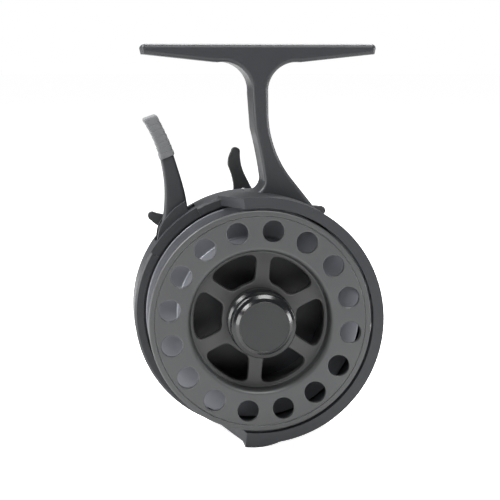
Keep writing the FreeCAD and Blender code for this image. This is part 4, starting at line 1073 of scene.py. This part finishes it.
@dataclass
class Studio:
    """Floor, light and the camera at the photograph's viewing angle.

    Attributes:
        camera_x: Camera's place to the right of the spool's axis, in millimetres.
        camera_d: Its depth, ahead of the face and so negative.
        camera_y: Its height above the spool's axis.
        yaw: Turn of the view to the right, in degrees.
        pitch: Turn of the view down, in degrees.
        lens: Focal length for the sensor's width.
        world_light: Strength of the surroundings as a light.
        floor_colour: Colour of the paper underneath.
        floor_glow: How bright the paper is to the camera by itself.
        floor_reach: Half the paper's width, in metres.
        lamps: Name, place from the object's middle, width and power of each lamp.
    """

    camera_x: float = -46.34
    camera_d: float = -391.04
    camera_y: float = 70.28
    yaw: float = 6.3266
    pitch: float = 7.3173
    lens: float = 105.80
    world_light: float = 0.14
    floor_colour: str = "#e8e8e8"
    floor_glow: float = 0.88
    floor_reach: float = 12.0
    lamps: tuple[tuple, ...] = (
        ("key", (-0.50, 0.10, 0.52), 0.45, 8.0),
        ("fill", (0.15, -0.75, 0.80), 0.50, 7.0),
        ("top", (0.12, 0.30, 0.60), 0.40, 6.0),
        ("left", (-0.80, -0.12, 0.05), 0.50, 4.0),
        ("right", (0.80, -0.10, 0.05), 0.50, 6.0),
    )

    def camera(self, axes: Axes) -> None:
        """Place the camera.

        Args:
            axes: The reel's axes.
        """
        data = bpy.data.cameras.new("view")
        data.lens = self.lens
        data.sensor_width = SENSOR_MM
        data.sensor_fit = "HORIZONTAL"
        data.clip_start = 0.01
        data.clip_end = 50.0
        camera = bpy.data.objects.new("view", data)
        bpy.context.scene.collection.objects.link(camera)
        place = axes.to_row(self.camera_x, self.camera_d, self.camera_y)
        yaw = math.radians(self.yaw)
        pitch = math.radians(self.pitch)
        forward = Vector((math.sin(yaw) * math.cos(pitch), math.cos(yaw) * math.cos(pitch),
                          -math.sin(pitch)))
        turn = forward.to_track_quat("-Z", "Y").to_matrix().to_4x4()
        camera.matrix_world = Matrix.Translation(Vector(place.tolist())) @ turn
        bpy.context.scene.camera = camera

    def world(self) -> None:
        """Soft white surroundings: full white to the camera and plainer as a light."""
        world = bpy.data.worlds.new("white_studio")
        bpy.context.scene.world = world
        world.use_nodes = True
        tree = world.node_tree
        tree.nodes.clear()
        path = add_node(tree, "LightPath")
        seen = add_node(tree, "Math", {
            0: path.outputs["Is Camera Ray"], 1: path.outputs["Is Transmission Ray"]},
            operation="MAXIMUM")
        lit, white = [
            add_node(tree, "Background", {"Color": linear("#ffffff"), "Strength": strength})
            for strength in (self.world_light, 1.0)]
        mixed = add_node(tree, "MixShader", {
            0: seen.outputs[0], 1: lit.outputs[0], 2: white.outputs[0]})
        add_node(tree, "OutputWorld", {"Surface": mixed.outputs[0]})

    def floor(self, height: float) -> None:
        """White floor that keeps the object's shadow.

        Args:
            height: Height of the floor, in metres.
        """
        mesh = bpy.data.meshes.new("floor")
        reach = self.floor_reach
        corners = [(x * reach, y * reach, height) for x, y in ((-1, -1), (1, -1), (1, 1), (-1, 1))]
        mesh.from_pydata(corners, [], [(0, 1, 2, 3)])
        floor = bpy.data.objects.new("floor", mesh)
        bpy.context.scene.collection.objects.link(floor)
        material = bpy.data.materials.new("white_paper")
        material.use_nodes = True
        tree = material.node_tree
        tree.nodes.clear()
        paper = add_node(tree, "BsdfDiffuse", {"Color": linear(self.floor_colour)})
        path = add_node(tree, "LightPath")
        glow = add_node(tree, "Math", {0: path.outputs["Is Camera Ray"], 1: self.floor_glow},
                        operation="MULTIPLY")
        light = add_node(tree, "Emission", {
            "Color": linear("#ffffff"), "Strength": glow.outputs[0]})
        both = add_node(tree, "AddShader", {0: paper.outputs[0], 1: light.outputs[0]})
        add_node(tree, "OutputMaterial", {"Surface": both.outputs[0]})
        mesh.materials.append(material)
        floor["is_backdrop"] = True

    def lights(self, middle: Vector) -> None:
        """Hang the soft lamps round the object.

        Args:
            middle: Point that they face, in metres.
        """
        for name, place, across, power in self.lamps:
            data = bpy.data.lights.new(name, "AREA")
            data.shape = "DISK"
            data.size = across
            data.energy = power
            lamp = bpy.data.objects.new(name, data)
            bpy.context.scene.collection.objects.link(lamp)
            lamp.location = middle + Vector(place)
            lamp.rotation_euler = (-Vector(place)).to_track_quat("-Z", "Y").to_euler()

    def build(self, axes: Axes, low: Vector, middle: Vector) -> None:
        """Set the stage.

        Args:
            axes: The reel's axes.
            low: Lowest corner of the object's box.
            middle: Middle of that box.
        """
        self.camera(axes)
        self.world()
        self.floor(low.z)
        self.lights(middle)
        bpy.context.scene.view_settings.view_transform = "Standard"


def finishes(axes: Axes) -> dict[str, Finish]:
    """Finishes by the record's material slots, and four that only rebuilt pieces wear.

    Args:
        axes: The reel's axes, for concentric tool marks.

    Returns:
        Finish by slot or by plain name.
    """
    spool_axis = tuple(axes.spool)
    return {
        # Nylon filled with graphite, moulded in a textured tool: dark, satin, faintly blue.
        "graphite_frame": Finish(
            "moulded_graphite_nylon", "#25272b", "#2d2f32", roughness=0.44, grain_mm=0.35,
            relief_mm=0.02),
        # Aluminium turned on a lathe, blasted and anodised grey: soft, even sheen.
        "grey_aluminium": Finish(
            "turned_anodised_aluminium", "#525354", "#595a5a", metallic=0.6, roughness=0.45,
            grain=Grain.TURNED, grain_mm=0.25, relief_mm=0.004, edge_colour="#9a9b9d",
            edge_share=0.5, axis=spool_axis),
        # Aluminium cut from plate and anodised black: satin, with bright corners that are partly
        # wear and partly a painted highlight.
        "black_aluminium": Finish(
            "anodised_black_aluminium", "#4a4b4c", "#505152", metallic=0.6, roughness=0.4,
            grain=Grain.BLASTED, grain_mm=0.3, edge_colour="#77797b",
            edge_share=0.4),
        # Turned and polished black knob: mirror-like bands of light.
        "gloss_black": Finish(
            "polished_black_acetal", "#101113", "#141517", roughness=0.2, spread=0.03,
            grain=Grain.SMOOTH, grain_mm=0.8, relief_mm=0.002, coat=0.2, edge_colour="#303234"),
        # Soft elastomer, moulded over the lever: dull and even grey.
        "grip_rubber": Finish(
            "moulded_grey_elastomer", "#636566", "#6c6e6f", roughness=0.68, grain_mm=0.3,
            edge_mm=0.08, edge_colour="#a2a4a5", edge_share=0.6),
        # Steel turned and ground: fine straight lines, clean reflections.
        "steel": Finish(
            "ground_steel", "#a9abad", "#b3b4b6", metallic=1.0, roughness=0.3, grain=Grain.GROUND,
            grain_mm=0.2, relief_mm=0.004, edge_colour="#d0d1d2"),
        # Steel screws with a black oxide skin: almost black, slightly oily.
        "dark_steel": Finish(
            "black_oxide_steel", "#2c2d2f", "#343536", metallic=0.9, roughness=0.36,
            grain=Grain.GROUND, grain_mm=0.2, relief_mm=0.004),
        # Hard-drawn spring wire: bright and smooth.
        "spring_steel": Finish(
            "drawn_spring_wire", "#9c9ea1", "#a6a8ab", metallic=1.0, roughness=0.25,
            grain=Grain.SMOOTH, grain_mm=0.5, relief_mm=0.002, edge_colour="#c4c6c8"),
        # Brass cut on a hobbing machine: warm, with tool marks round its axis.
        "brass": Finish(
            "machined_brass", "#b08d4c", "#b99757", metallic=1.0, roughness=0.28,
            grain=Grain.TURNED, grain_mm=0.25, relief_mm=0.004, edge_colour="#d7bd85",
            axis=tuple(axes.drive)),
        # Pressed felt soaked in drag oil: dark and fibrous.
        "friction_felt": Finish(
            "oiled_felt", "#3a3733", "#46413b", roughness=0.9, grain=Grain.FELT, grain_mm=0.3,
            relief_mm=0.08, edge_share=0.0),
        # Disc of brushed aluminium, anodised dark, let into the knob's crown.
        "knob_disc": Finish(
            "brushed_disc", "#303132", "#373838", metallic=0.3, roughness=0.5, grain=Grain.TURNED,
            grain_mm=0.2, relief_mm=0.004, axis=spool_axis),
        # Web milled and blasted before anodising, duller than the turned face; its darker colour is
        # painted shade of the recessed dish, on the web and on the hub.
        "spool_web_painted_shade": Finish(
            "web_with_painted_shade", "#4b4c4b", "#525352", metallic=0.5, roughness=0.52,
            grain=Grain.BLASTED, grain_mm=0.3, edge_colour="#8c8d8f",
            edge_share=0.5),
        # Line groove turned smooth before anodising, cooler in tone; its lighter colour and bright
        # edges are painted light standing in for light that reaches the drum and the flanges' inner
        # faces.
        "line_groove_painted_light": Finish(
            "groove_with_painted_light", "#73757b", "#797b81", metallic=0.6, roughness=0.34,
            grain=Grain.TURNED, grain_mm=0.25, relief_mm=0.003, edge_colour="#c6c8ce",
            edge_share=0.6, axis=spool_axis),
        # Black elastomer moulded round the handle knob: dull, with a fine grain.
        "black_grip": Finish(
            "moulded_black_elastomer", "#232425", "#2a2b2c", roughness=0.62, grain_mm=0.4,
            relief_mm=0.03),
    }


def main() -> None:
    """Load the frame, build and dress every piece, and set the stage."""
    logging.basicConfig(level=logging.INFO, format="%(name)s: %(message)s")
    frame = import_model()
    cad_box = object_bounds()
    axes = Axes.read(frame)
    looks = {name: finish.make() for name, finish in finishes(axes).items()}
    dress(frame, looks)
    for kind in (SpoolPiece, TensionKnobPiece, GripPiece, TriggerPadPiece, TriggerLeverPiece):
        piece = kind().build(axes, looks)
        LOG.info("built %s with %d faces", piece.name, len(piece.data.polygons))

    low = Vector(cad_box[0])
    middle = (low + Vector(cad_box[1])) / 2.0
    Studio().build(axes, low, middle)


if __name__ == "__main__":
    main()
